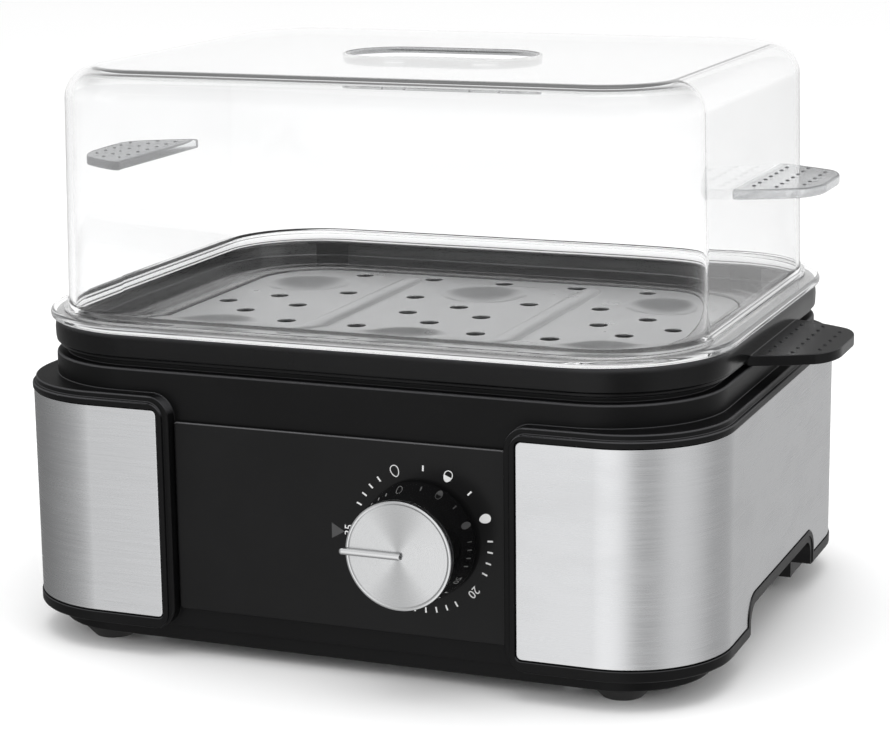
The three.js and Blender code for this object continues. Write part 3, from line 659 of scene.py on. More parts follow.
def metal(name, base, low, high, bump, group="grain", aniso=0.0):
    """Bare metal: hair lines, lathe rings or a fine rolled grain."""
    finish = Finish(name)
    tree = finish.tree
    lines = place_group(tree, groups[group])
    marks = place_group(tree, groups["marks"], Smear_Size=24.0)
    finish.colour_from(lines.outputs["Tone"], shade(base, 0.94), shade(base, 1.05))
    worn = maths(tree, "MULTIPLY", marks.outputs["Smears"], 0.35)
    mask = maths(tree, "ADD", worn, maths(tree, "MULTIPLY", lines.outputs["Tone"], 0.65))
    finish.roughness_from(mask, low, high)
    finish.bump_from(lines.outputs["Height"], bump, HAIR_LINE_DEPTH)
    finish.set(Metallic=1.0, Anisotropic=aniso)
    return finish


LAST_CLEAR_BOUNCE = 5
HAZE = (0.2, 0.21, 0.22)


def clear(name, base, low, high, ior, density):
    """Clear moulded plastic, greyer where it is thick. Shadows pass through it.

    Rays still trapped in the wall after a few bounces go straight on.
    """
    finish = Finish(name)
    tree = finish.tree
    marks = place_group(tree, groups["marks"], Smear_Size=14.0)
    finish.colour_from(marks.outputs["Smears"], base, shade(base, 0.985))
    if high > 0:
        finish.roughness_from(marks.outputs["Smears"], low, high)
    else:
        finish.set(Roughness=0.0)
    finish.bump_from(marks.outputs["Smears"], SMEAR_BUMP, SMEAR_DEPTH)
    finish.set(Transmission_Weight=1.0, IOR=ior)
    path = add(tree, "ShaderNodeLightPath")
    veil = add(tree, "ShaderNodeBsdfTransparent")
    veil.inputs["Color"].default_value = (*shade(base, 0.97), 1)
    mix = add(tree, "ShaderNodeMixShader")
    output = tree.nodes["Material Output"]
    trapped = maths(tree, "GREATER_THAN", path.outputs["Ray Depth"], LAST_CLEAR_BOUNCE)
    passes = maths(tree, "MAXIMUM", path.outputs["Is Shadow Ray"], trapped)
    tree.links.new(passes, mix.inputs["Fac"])
    tree.links.new(finish.shader.outputs["BSDF"], mix.inputs[1])
    tree.links.new(veil.outputs["BSDF"], mix.inputs[2])
    tree.links.new(mix.outputs["Shader"], output.inputs["Surface"])
    if density > 0:
        haze = add(tree, "ShaderNodeVolumeAbsorption")
        haze.inputs["Color"].default_value = (*HAZE, 1)
        haze.inputs["Density"].default_value = density
        tree.links.new(haze.outputs["Volume"], output.inputs["Volume"])
    return finish


groups = {}
finishes = {}


class COOKER_OT_finishes(Operator):
    """Makes the shared patterns and every finish"""

    bl_idname = "cooker.finishes"
    bl_label = "Make Finishes"

    def execute(self, context):
        colours = context.scene.cooker_colours
        groups["grain"] = grain_group()
        groups["marks"] = handling_group()
        groups["brushed"] = brushed_group()
        groups["turned"] = lathe_rings_and_painted_fans_group()
        groups["edge"] = painted_edge_group()
        black, panel = tuple(colours.black), tuple(colours.panel)
        steel, plate, spun = tuple(colours.steel), tuple(colours.plate), tuple(colours.spun)
        made = (
            moulded("satin_black", black, 0.34, 0.46, 0.35, specular=0.1, edge=0.8),
            moulded("tray_black", black, 0.22, 0.3, 0.06, specular=0.14, edge=0.5),
            moulded("tray_polish", black, 0.11, 0.15, 0.06, specular=0.9, edge=0.5),
            moulded("gloss_black", black, 0.05, 0.09, 0.02, specular=0.45),
            moulded("panel_black", panel, 0.18, 0.26, 0.08, specular=0.12, edge=1.0),
            metal("brushed_steel", steel, 0.22, 0.33, 0.22, "brushed", 0.8),
            metal("plate_steel", plate, 0.26, 0.36, 0.1),
            metal("spun_face", spun, 0.24, 0.34, 0.25, "turned", 0.75),
            metal("bright_metal", spun, 0.12, 0.2, 0.05),
            clear("clear_plastic", tuple(colours.clear), 0.0, 0.0, 1.27, 15.0),
            clear("grey_clear", tuple(colours.grey_clear), 0.12, 0.22, 1.42, 0.0),
            moulded("foot_rubber", tuple(colours.rubber), 0.7, 0.9, 0.6, 1800.0, 0.3),
            moulded("bowl_coating", tuple(colours.coating), 0.4, 0.55, 0.4, 1500.0, 0.2),
            metal("aluminium", tuple(colours.aluminium), 0.35, 0.5, 0.3),
            moulded("silicone", tuple(colours.silicone), 0.55, 0.75, 0.3),
            moulded("ceramic", tuple(colours.ceramic), 0.45, 0.65, 0.3),
            metal("screw_steel", tuple(colours.screw), 0.22, 0.35, 0.1),
            moulded("wire_sleeve", tuple(colours.sleeve), 0.6, 0.8, 0.6, 4200.0),
            moulded("dial_print", tuple(colours.print), 0.4, 0.55, 0.2),
            moulded("zero_print", tuple(colours.zero), 0.4, 0.55, 0.2),
            # Painted shade: dark grey for the dots on the clear lid tabs.
            moulded("grip_dots", tuple(colours.dots), 0.4, 0.6, 0.2),
        )
        for finish in made:
            finishes[finish.name] = finish.material
            if finish.name == "spun_face":
                add_lathe_tangent_and_painted_fans(finish, spun)
        return {"FINISHED"}


def add_lathe_tangent_and_painted_fans(finish, base):
    """Tangent round the knob's axis, and a painted reflection: the colour is darker in fans above and
    below its centre.
    """
    tree, shader = finish.tree, finish.shader
    tangent = add(tree, "ShaderNodeTangent", direction_type="RADIAL", axis="Y")
    tree.links.new(tangent.outputs["Tangent"], shader.inputs["Tangent"])
    lines = place_group(tree, groups["turned"])
    before = shader.inputs["Base Color"].links[0].from_socket
    # Painted reflection: the face's colour is darker in the fans.
    finish.colour_from(lines.outputs["Painted Fans"], before, shade(base, 0.72))


# ---- Base --------------------------------------------------------------------------------------


FRAME_ROUNDS = (0.0009, 0.0008)


def base_plan(sizes):
    half_y = (HOUSING_HIGH.y - HOUSING_LOW.y) / 2
    return Outline(HOUSING_HIGH.x, half_y, sizes.corner_radius)


def side_mask(sign, inner, low, high, radius):
    """A rounded block that keeps only what lies outside inner on one side."""
    outer = HOUSING_HIGH.x + 2 * FAR_PAST
    outline = Outline((outer - inner) / 2, (high - low) / 2, radius)
    depth = HOUSING_HIGH.y - HOUSING_LOW.y
    middle = Matrix.Translation((sign * (inner + outer) / 2, CENTRE_Y, (low + high) / 2))
    return block("mask", [(outline, -depth), (outline, depth)], middle @ TOWARDS_FRONT, SMALL_CORNER_STEPS)


def grip_block(sizes, sign, margin, inner, outer):
    """The finger recess of one side, widened by a margin, from inner to outer."""
    radius = sizes.grip_radius + margin / 2
    outline = Outline(sizes.grip_half + margin, sizes.grip_top + margin, radius)
    ends = sorted((sign * inner, sign * outer))
    return block("grip", [(outline, ends[0]), (outline, ends[1])], CENTRE @ ALONG_X, SMALL_CORNER_STEPS)


def side_frame(sizes, sign):
    """The frame round one steel sheet, with a thin step along its edge."""
    body = base_plan(sizes)
    step = sizes.step_width
    lower = block(
        "frame",
        rounded_levels(body, sizes.band_low, sizes.frame_top - step, *FRAME_ROUNDS),
    )
    keep_inside(
        lower,
        side_mask(
            sign,
            sizes.frame_inner + step,
            sizes.band_low,
            sizes.frame_top - step,
            sizes.frame_radius - step,
        ),
    )
    behind = block(
        "frame_step",
        rounded_levels(
            body.inset(sizes.step_drop), sizes.band_low, sizes.frame_top, *FRAME_ROUNDS
        ),
    )
    keep_inside(
        behind,
        side_mask(
            sign, sizes.frame_inner, sizes.band_low, sizes.frame_top, sizes.frame_radius
        ),
    )
    return join(lower, behind)


RECESS_GAP = 0.0004
WELL_FLOOR = 0.06
STEEL_RECESS_DEPTH = 0.0015
SHAFT_HOLE_RADIUS = 0.005
BUSH_HOLE_RADIUS = 0.0065


class COOKER_OT_housing(Operator):
    """Builds the moulded body with its skirt, side frames, tray seat and finger recesses"""

    bl_idname = "cooker.housing"
    bl_label = "Build Housing"

    def execute(self, context):
        sizes = context.scene.cooker_base
        body = base_plan(sizes)
        collar = Outline(*sizes.collar)
        skirt = Outline(*sizes.skirt)
        seat = Outline(*sizes.seat)
        bowl = Outline(*sizes.bowl)
        flange = Outline(*sizes.bowl_flange)
        low = HOUSING_LOW.z
        top = HOUSING_HIGH.z
        band_low = sizes.band_low
        overlap = 0.0005
        housing = block(
            "housing", rounded_levels(collar, band_low, sizes.deck, 0.0004, 0.0011)
        )
        join(
            housing,
            block("skirt", rounded_levels(skirt, low, band_low + overlap, 0.0008)),
            block("seat", rounded_levels(seat, sizes.deck - PAST, top, 0, 0.0005)),
        )
        for _, sign in SIDES:
            join(housing, side_frame(sizes, sign))
        wall = sizes.wall
        inner = collar.inset(wall)
        ceiling = sizes.deck - 1.5 * wall
        hollow = block("hollow", [(inner, band_low + PAST), (inner, ceiling)])
        lower_hollow = [(skirt.inset(wall), 0), (skirt.inset(wall), band_low + 1.5 * PAST)]
        join(hollow, block("lower", lower_hollow))
        cut(housing, hollow)
        liner_depth = sizes.grip_inner - sizes.grip_wall
        outside = body.half_x + FAR_PAST
        for name, sign in SIDES:
            reach = block("reach", [(skirt, low + FIT), (skirt, band_low + PAST)])
            inner_body = body.inset(RECESS_GAP)
            above_grip = sizes.grip_top * 3
            join(reach, block("reach_up", [(inner_body, band_low + overlap), (inner_body, above_grip)]))
            liner = grip_block(sizes, sign, sizes.grip_wall, liner_depth, body.half_x)
            liner.name = "grip_liner_" + name
            keep_inside(liner, reach)
            cut(liner, grip_block(sizes, sign, 0, sizes.grip_inner, outside))
            soften(liner)
            install(liner, "base", "black_plastic", finishes["satin_black"])
        well, rebate = bowl.inset(-RECESS_GAP), flange.inset(-RECESS_GAP)
        cut(
            housing,
            block("well", [(well, WELL_FLOOR), (well, top + PAST)]),
            block("rebate", [(rebate, sizes.rebate), (rebate, top + PAST)]),
        )
        steel_inner = sizes.frame_inner + sizes.steel_margin
        recess = STEEL_LOW.z - FIT, STEEL_HIGH.z + FIT
        wide, deep = body.inset(-4 * STEEL_RECESS_DEPTH), body.inset(STEEL_RECESS_DEPTH)
        for _, sign in SIDES:
            ring = block("ring", [(wide, recess[0]), (wide, recess[1])])
            cut(ring, block("core", [(deep, recess[0] - PAST), (deep, recess[1] + PAST)]))
            keep_inside(ring, side_mask(sign, steel_inner, *recess, sizes.steel_radius))
            band = sizes.steel_margin
            cut(ring, grip_block(sizes, sign, band, sizes.grip_inner - FAR_PAST, outside))
            cut(housing, ring)
            cut(housing, grip_block(sizes, sign, sizes.grip_wall, liner_depth, outside))
        at_knob = Matrix.Translation((KNOB_CENTRE.x, HOUSING_LOW.y, KNOB_CENTRE.z)) @ TOWARDS_FRONT
        at_bush = Matrix.Translation((0, HOUSING_HIGH.y, sum(bush_heights()) / 2)) @ TOWARDS_FRONT
        cut(
            housing,
            peg("shaft_hole", SHAFT_HOLE_RADIUS, -2 * FAR_PAST, FAR_PAST, at_knob),
            peg("bush_hole", BUSH_HOLE_RADIUS, -FAR_PAST, 2 * FAR_PAST, at_bush),
        )
        soften(housing, 0.00035)
        install(housing, "base", "black_plastic", finishes["satin_black"], "housing_shell")
        return {"FINISHED"}


def bush_heights():
    """The lowest and highest point of the inlet bush."""
    low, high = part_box("inlet_bush")
    return low.z, high.z


class COOKER_OT_steel_sides(Operator):
    """Builds the two brushed sheets that wrap the sides and their corners"""

    bl_idname = "cooker.steel_sides"
    bl_label = "Build Steel Sides"

    def execute(self, context):
        sizes = context.scene.cooker_base
        body = base_plan(sizes)
        low, high = STEEL_LOW.z, STEEL_HIGH.z
        outer = body.inset(HOUSING_HIGH.x - STEEL_HIGH.x)
        inner = outer.inset(sizes.steel_thickness)
        grip_start, outside = sizes.grip_inner - FAR_PAST, body.half_x + FAR_PAST
        for name, sign in SIDES:
            sheet = block("steel_side_" + name, [(outer, low), (outer, high)])
            cut(sheet, block("inside", [(inner, low - PAST), (inner, high + PAST)]))
            keep_inside(sheet, side_mask(sign, STEEL_LOW.x, low, high, sizes.steel_radius))
            cut(sheet, grip_block(sizes, sign, sizes.steel_margin + FIT, grip_start, outside))
            soften(sheet, 0.0004)
            finish = finishes["brushed_steel"]
            install(sheet, "base", "brushed_steel", finish, "steel_wrap_" + name)
        return {"FINISHED"}


class COOKER_OT_panels(Operator):
    """Builds the dark front and rear panels"""

    bl_idname = "cooker.panels"
    bl_label = "Build Panels"

    def execute(self, context):
        half_z = (PANEL_HIGH.z - PANEL_LOW.z) / 2
        thickness = PANEL_HIGH.y - PANEL_LOW.y
        outline = Outline(PANEL_HIGH.x, half_z, 0.0015)
        levels = rounded_levels(outline, 0, thickness, 0, 0.0007)
        middle_z = (PANEL_LOW.z + PANEL_HIGH.z) / 2
        at_front = Matrix.Translation((0, PANEL_HIGH.y, middle_z)) @ TOWARDS_FRONT
        front = block("panel_front", levels, at_front, 8)
        at_knob = Matrix.Translation((KNOB_CENTRE.x, PANEL_HIGH.y, KNOB_CENTRE.z)) @ TOWARDS_FRONT
        cut(front, peg("hole", 0.0046, -FAR_PAST, FAR_PAST, at_knob))
        rear_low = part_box("rear_panel")[0]
        turned_round = Matrix.Rotation(math.pi, 4, "Z")
        at_rear = Matrix.Translation((0, rear_low.y, middle_z)) @ turned_round @ TOWARDS_FRONT
        rear = block("panel_rear", levels, at_rear, 8)
        at_bush = Matrix.Translation((0, rear_low.y, sum(bush_heights()) / 2)) @ TOWARDS_FRONT
        cut(rear, peg("hole", BUSH_HOLE_RADIUS, -FAR_PAST, FAR_PAST, at_bush))
        for piece, node in ((front, "front_panel"), (rear, "rear_panel")):
            soften(piece)
            install(piece, "base", "gloss_panel", finishes["panel_black"], node)
        return {"FINISHED"}


class COOKER_OT_feet(Operator):
    """Builds the four rubber feet"""

    bl_idname = "cooker.feet"
    bl_label = "Build Feet"

    def execute(self, context):
        for end in ("front", "rear"):
            for side, _ in SIDES:
                node = f"foot_{end}_{side}"
                low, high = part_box(node)
                centre = (low + high) / 2
                top = (high.x - low.x) / 2
                height = high.z - low.z
                foot_radius = top * 0.68
                profile = [
                    (0, 0.0004),
                    (foot_radius * 0.62, 0.0004),
                    (foot_radius * 0.66, 0),
                    (foot_radius * 0.94, 0),
                    (foot_radius, 0.0005),
                    (top * 0.96, height * 0.84),
                    (top, height * 0.92),
                    (top, height),
                    (0, height),
                ]
                place = Matrix.Translation((centre.x, centre.y, low.z))
                foot = turned(f"rubber_{node}", profile, place, 40)
                soften(foot)
                install(foot, "base", "foot_rubber", finishes["foot_rubber"], node)
        return {"FINISHED"}


class COOKER_OT_bowl(Operator):
    """Builds the heating bowl with its flange, and the seal under it"""

    bl_idname = "cooker.bowl"
    bl_label = "Build Heating Bowl"

    def execute(self, context):
        sizes = context.scene.cooker_base
        bowl = Outline(*sizes.bowl)
        flange = Outline(*sizes.bowl_flange).inset(FIT)
        floor, top = BOWL_LOW.z, BOWL_HIGH.z
        wall = 0.0012
        round_edge = 0.0134
        piece = block("heating_bowl", rounded_levels(bowl.inset(0.0006), floor, top, round_edge, 0))
        rim = block("rim", rounded_levels(flange, top - wall, top, 0.0002, 0.0005))
        join(piece, rim)
        hollow, inner_edge = bowl.inset(0.0006 + wall), round_edge - wall
        inside = rounded_levels(hollow, floor + wall, top + 2 * PAST, inner_edge, 0)
        cut(piece, block("inside", inside))
        soften(piece, 0.0003)
        install(piece, "base", "dark_coating", finishes["bowl_coating"], "water_bowl")
        seal_low, seal_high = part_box("bowl_seal")
        seal_plan = flange.inset(FIT)
        seal = block("rim_seal", rounded_levels(seal_plan, seal_low.z, seal_high.z, 0.0003, 0.0003))
        inner = seal_plan.inset(0.0036)
        cut(seal, block("inside", [(inner, seal_low.z - PAST), (inner, seal_high.z + PAST)]))
        soften(seal, 0.0002)
        install(seal, "base", "silicone_seal", finishes["silicone"], "bowl_seal")
        return {"FINISHED"}


class COOKER_OT_inlet(Operator):
    """Builds the ribbed bush where a cord would enter"""

    bl_idname = "cooker.inlet"
    bl_label = "Build Inlet Bush"

    def execute(self, context):
        low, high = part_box("inlet_bush")
        outer = (high.x - low.x) / 2
        bore = outer * 0.44
        neck = outer * 0.7
        depth = high.y - low.y
        profile = [
            (bore, 0),
            (outer, 0),
            (outer, 0.0038),
            (neck, 0.0042),
            (neck, depth - 0.0022),
            (outer * 0.97, depth - 0.002),
            (outer, depth - 0.0016),
            (outer, depth - 0.0008),
            (outer * 0.92, depth),
            (bore * 1.2, depth),
            (bore, depth - 0.0005),
            (bore, 0),
        ]
        middle = Matrix.Translation((0, low.y, (low.z + high.z) / 2))
        place = middle @ Matrix.Rotation(math.radians(-90), 4, "X")
        bush = turned("cord_bush", profile, place, 48)
        soften(bush)
        install(bush, "base", "foot_rubber", finishes["foot_rubber"], "inlet_bush")
        return {"FINISHED"}


# ---- Knob and dial -----------------------------------------------------------------------------


ROD_END_STEPS = 8
ROD_BORE_DEPTH = 0.0016


class COOKER_OT_knob(Operator):
    """Builds the knob: glossy body, spun face with a raised rim, and rod pointer"""

    bl_idname = "cooker.knob"
    bl_label = "Build Knob"

    def execute(self, context):
        sizes = context.scene.cooker_knob
        radius = (KNOB_HIGH.x - KNOB_LOW.x) / 2
        wide = radius + sizes.flare
        depth = KNOB_HIGH.y - KNOB_LOW.y
        at_back = Matrix.Translation((KNOB_CENTRE.x, KNOB_HIGH.y, KNOB_CENTRE.z)) @ TOWARDS_FRONT
        body_profile = [
            (0, 0),
            (wide - 0.0008, 0),
            (wide - 0.0002, 0.0003),
            (wide, 0.0009),
            (radius, depth - 0.0006),
            (radius - 0.0003, depth),
            (0, depth),
        ]
        body = turned("knob_barrel", body_profile, at_back, 96)
        soften(body)
        install(body, "knob", "black_plastic", finishes["gloss_black"], "knob_body")

        face_depth = FACE_HIGH.y - FACE_LOW.y
        inner = radius - sizes.rim_width
        face = face_depth - sizes.rim_height
        face_profile = [
            (0, 0),
            (radius - 0.0002, 0),
            (radius, 0.0002),
            (radius, face_depth - 0.0005),
            (radius - 0.00015, face_depth - 0.00015),
            (radius - 0.0005, face_depth),
            (inner + 0.0003, face_depth),
            (inner, face_depth - 0.0001),
            (inner - 0.0003, face),
            (0, face),
        ]
        at_face = Matrix.Translation((KNOB_CENTRE.x, FACE_HIGH.y, KNOB_CENTRE.z)) @ TOWARDS_FRONT
        inlay = turned("knob_disc", face_profile, at_face, 128)
        rod_radius = (POINTER_HIGH.z - POINTER_LOW.z) / 2
        rod_y = (POINTER_LOW.y + POINTER_HIGH.y) / 2
        rod_length = POINTER_HIGH.x - POINTER_LOW.x
        at_rod = Matrix.Translation((POINTER_LOW.x, rod_y, KNOB_CENTRE.z)) @ ALONG_X
        seat = peg("seat", rod_radius + 0.00015, -0.003, rod_length + 0.0004, at_rod, 40)
        cut(inlay, seat)
        soften(inlay)
        install(inlay, "knob", "spun_metal", finishes["spun_face"], "knob_face")

        rod_bore = rod_radius * 0.45
        profile = [(0, 0)]
        for step in range(1, ROD_END_STEPS + 1):
            turn = step * QUARTER_TURN / ROD_END_STEPS
            profile.append((rod_radius * math.sin(turn), rod_radius * (1 - math.cos(turn))))
        profile += [
            (rod_radius, rod_length - 0.0003),
            (rod_radius - 0.0002, rod_length),
            (rod_bore, rod_length),
            (rod_bore, rod_length - ROD_BORE_DEPTH),
            (0, rod_length - ROD_BORE_DEPTH),
        ]
        rod = turned("pointer_rod", profile, at_rod, 40)
        soften(rod)
        install(rod, "knob", "spun_metal", finishes["bright_metal"], "knob_pointer")
        return {"FINISHED"}


def dial_place(degrees, radius, spin=0.0):
    """Place on the front panel, clockwise in degrees from nine o'clock on the dial."""
    turn = math.radians(degrees)
    x = KNOB_CENTRE.x - radius * math.cos(turn)
    z = KNOB_CENTRE.z + radius * math.sin(turn)
    place = Matrix.Translation((x, PANEL_LOW.y, z)) @ TOWARDS_FRONT
    return place @ Matrix.Rotation(-turn + spin, 4, "Z")


PRINT_THICKNESS = 0.00006
TICK_WIDTH = 0.00055
LETTER_SCALE = 1.4
EGG_STEPS = 28
EGG_WIDTH = 0.74
EGG_TAPER = 0.12
EGG_LINE = 0.14


def raise_print(bm, place):
    """Gives flat marks their film thickness and puts them on the dial."""
    bmesh.ops.solidify(bm, geom=list(bm.faces), thickness=PRINT_THICKNESS)
    bm.transform(place @ Matrix.Translation((0, 0, PRINT_THICKNESS * 1.5)))


def flat_bar(width, height, place):
    """A printed tick."""
    bm = bmesh.new()
    size = Matrix.Diagonal((width / 2, height / 2, 1, 1))
    bmesh.ops.create_grid(bm, x_segments=1, y_segments=1, size=1, matrix=size)
    raise_print(bm, place)
    return as_piece("bar", bm)


def flat_pointer(size, place):
    """A printed triangle that points at the knob."""
    bm = bmesh.new()
    bmesh.ops.create_circle(bm, cap_ends=True, segments=3, radius=size)
    bmesh.ops.rotate(bm, verts=bm.verts, matrix=Matrix.Rotation(math.radians(-90), 3, "Z"))
    raise_print(bm, place)
    return as_piece("triangle", bm)


def egg_mark(half_length, filled, place):
    """An egg outline. filled is the share of the egg that is printed solid."""
    bm = bmesh.new()
    bmesh.ops.create_circle(bm, cap_ends=True, segments=EGG_STEPS, radius=half_length)
    for vert in bm.verts:
        along = vert.co.x / half_length
        vert.co.y *= EGG_WIDTH - EGG_TAPER * along
    line = half_length * EGG_LINE
    bmesh.ops.inset_region(bm, faces=bm.faces, thickness=line, use_boundary=True)
    centre = max(bm.faces, key=lambda face: len(face.verts))
    if filled < 1:
        limit = half_length * (1 - 2 * filled)
        split = bmesh.ops.bisect_plane(
            bm,
            geom=[centre, *centre.edges, *centre.verts],
            plane_co=(limit, 0, 0),
            plane_no=(-1, 0, 0),
        )
        outer = [item for item in split["geom"] if isinstance(item, bmesh.types.BMFace)]
        spare = [face for face in outer if face.calc_center_median().x < limit]
        bmesh.ops.delete(bm, geom=spare, context="FACES_ONLY")
    raise_print(bm, place)
    return as_piece("egg", bm)


def figure(text, height, place):
    """A number printed on the dial."""
    curve = bpy.data.curves.new("figure", "FONT")
    curve.body = text
    curve.size = height * LETTER_SCALE
    curve.align_x = "CENTER"
    curve.align_y = "CENTER"
    curve.resolution_u = 4
    holder = bpy.data.objects.new("figure", curve)
    bpy.context.scene.collection.objects.link(holder)
    graph = bpy.context.evaluated_depsgraph_get()
    flat = bpy.data.meshes.new_from_object(holder.evaluated_get(graph))
    bm = bmesh.new()
    bm.from_mesh(flat)
    bpy.data.objects.remove(holder)
    bpy.data.curves.remove(curve)
    bpy.data.meshes.remove(flat)
    raise_print(bm, place)
    return as_piece("figure", bm)


# Angles of the dial's marks, clockwise from nine o'clock.
FIGURE_35, FIGURE_20 = 1.5, 221.7
TICK_BESIDE_EGG = 92.1
SINGLE_TICKS = (24.7, 34, 43, 52.3, 134.9, 176.2, 185.2, 194.4, 203.8)
FIRST_ROW_TICK, ROW_TICKS, ROW_STEP = 240, 13, 9
# Angle and printed share of the soft, medium and hard egg.
EGGS = ((67.9, 0), (113.4, 0.5), (157.9, 1))


class COOKER_OT_dial(Operator):
    """Builds the printed marks round the knob: ticks, egg outlines and figures"""

    bl_idname = "cooker.dial"
    bl_label = "Build Dial Marks"

    def execute(self, context):
        sizes = context.scene.cooker_knob
        radius = sizes.dial_radius
        zero = flat_pointer(0.0031, dial_place(0, radius + 0.0064))
        zero.name = "zero_mark"
        soften(zero)
        install(zero, "base", "gloss_panel", finishes["zero_print"])
        marks = flat_bar(sizes.tick_length, TICK_WIDTH, dial_place(TICK_BESIDE_EGG, radius))
        height = sizes.figure_height
        others = [
            figure("35", height, dial_place(FIGURE_35, radius + 0.0017, QUARTER_TURN)),
            figure("20", height, dial_place(FIGURE_20, radius + 0.0002, QUARTER_TURN)),
        ]
        row_of_ticks = [FIRST_ROW_TICK + ROW_STEP * step for step in range(ROW_TICKS)]
        tick_angles = [*SINGLE_TICKS, *row_of_ticks]
        for degrees in tick_angles:
            others.append(flat_bar(sizes.tick_length, TICK_WIDTH, dial_place(degrees, radius)))
        for degrees, filled in EGGS:
            others.append(egg_mark(sizes.egg_length / 2, filled, dial_place(degrees, radius)))
        merge_meshes(marks, *others)
        marks.name = "dial_marks"
        soften(marks)
        install(marks, "base", "gloss_panel", finishes["dial_print"])
        return {"FINISHED"}


# ---- Egg tray ----------------------------------------------------------------------------------


TAB_KNEE_RADIUS = 0.012
TAB_TIP_RADIUS = 0.011
DOT_RADIUS = 0.00078
DOT_ROWS = (5, 7, 7)
DOT_ROW_SPACING = 0.0077
DOT_EDGE = 0.0061
DOT_FLATNESS = 0.5


def tab_piece(name, sizes, root, reach, low, thickness, sign):
    """A finger tab: a wide root that narrows to a rounded tip."""
    wide, tip = sizes.tab_root, sizes.tab_tip
    bm = bmesh.new()
    half = [
        (root, -wide),
        (root + 0.003, -wide),
        (reach - 0.016, -wide + 0.003),
        (reach, -tip + 0.002),
    ]
    points = half + [(x, -y) for x, y in reversed(half)]
    verts = [bm.verts.new((x, y, 0)) for x, y in points]
    bm.faces.new(verts)
    knees = [verts[2], verts[5]]
    soft = dict(offset_type="OFFSET", affect="VERTICES", profile=0.5, material=-1)
    bmesh.ops.bevel(bm, geom=knees, offset=TAB_KNEE_RADIUS, segments=8, **soft)
    tips = [vert for vert in bm.verts if abs(vert.co.x - reach) < MERGE_DISTANCE]
    bmesh.ops.bevel(bm, geom=tips, offset=TAB_TIP_RADIUS, segments=10, **soft)
    made = bmesh.ops.extrude_face_region(bm, geom=list(bm.faces))
    raised = [item for item in made["geom"] if isinstance(item, bmesh.types.BMVert)]
    bmesh.ops.translate(bm, verts=raised, vec=(0, 0, thickness))
    turn = Matrix.Identity(4) if sign > 0 else Matrix.Rotation(math.pi, 4, "Z")
    bm.transform(CENTRE @ turn @ Matrix.Translation((0, 0, low)))
    return as_piece(name, bm)


def grip_dots(sizes, reach, height, sign):
    """Three rows of small raised dots on a finger tab."""
    bm = bmesh.new()
    flatten = Matrix.Diagonal((1, 1, DOT_FLATNESS, 1))
    for row, count in enumerate(DOT_ROWS):
        x = reach - DOT_EDGE - row * DOT_ROW_SPACING
        for index in range(count):
            y = (index - (count - 1) / 2) * sizes.dot_pitch
            place = CENTRE @ Matrix.Translation((sign * x, y, height)) @ flatten
            bmesh.ops.create_uvsphere(
                bm, u_segments=10, v_segments=6, radius=DOT_RADIUS, matrix=place
            )
    return as_piece("dots", bm)


LOCATOR_GAP = 0.0036
LOCATOR_WALL = 0.0018
LEDGE_STRIPES = 3
# How far along a stripe of the ledge each of its levels lies, and the share of its fall there.
STRIPE_LEVELS = ((0.22, 0), (0.86, 0.3), (0.94, 0.7))
POLISH_REACH = 1.015
POLISH_SQUARENESS = 6


def polish_inside(tray, opening):
    """Gives the smooth faces inside the tray's opening their polished finish."""
    tray.data.materials.append(finishes["tray_polish"])
    inside = set()
    for vert in tray.data.vertices:
        along = abs(vert.co.x) / opening.half_x
        across = abs(vert.co.y - CENTRE_Y) / opening.half_y
        if along**POLISH_SQUARENESS + across**POLISH_SQUARENESS < POLISH_REACH**POLISH_SQUARENESS:
            inside.add(vert.index)
    for face in tray.data.polygons:
        if inside.issuperset(face.vertices):
            face.material_index = 1


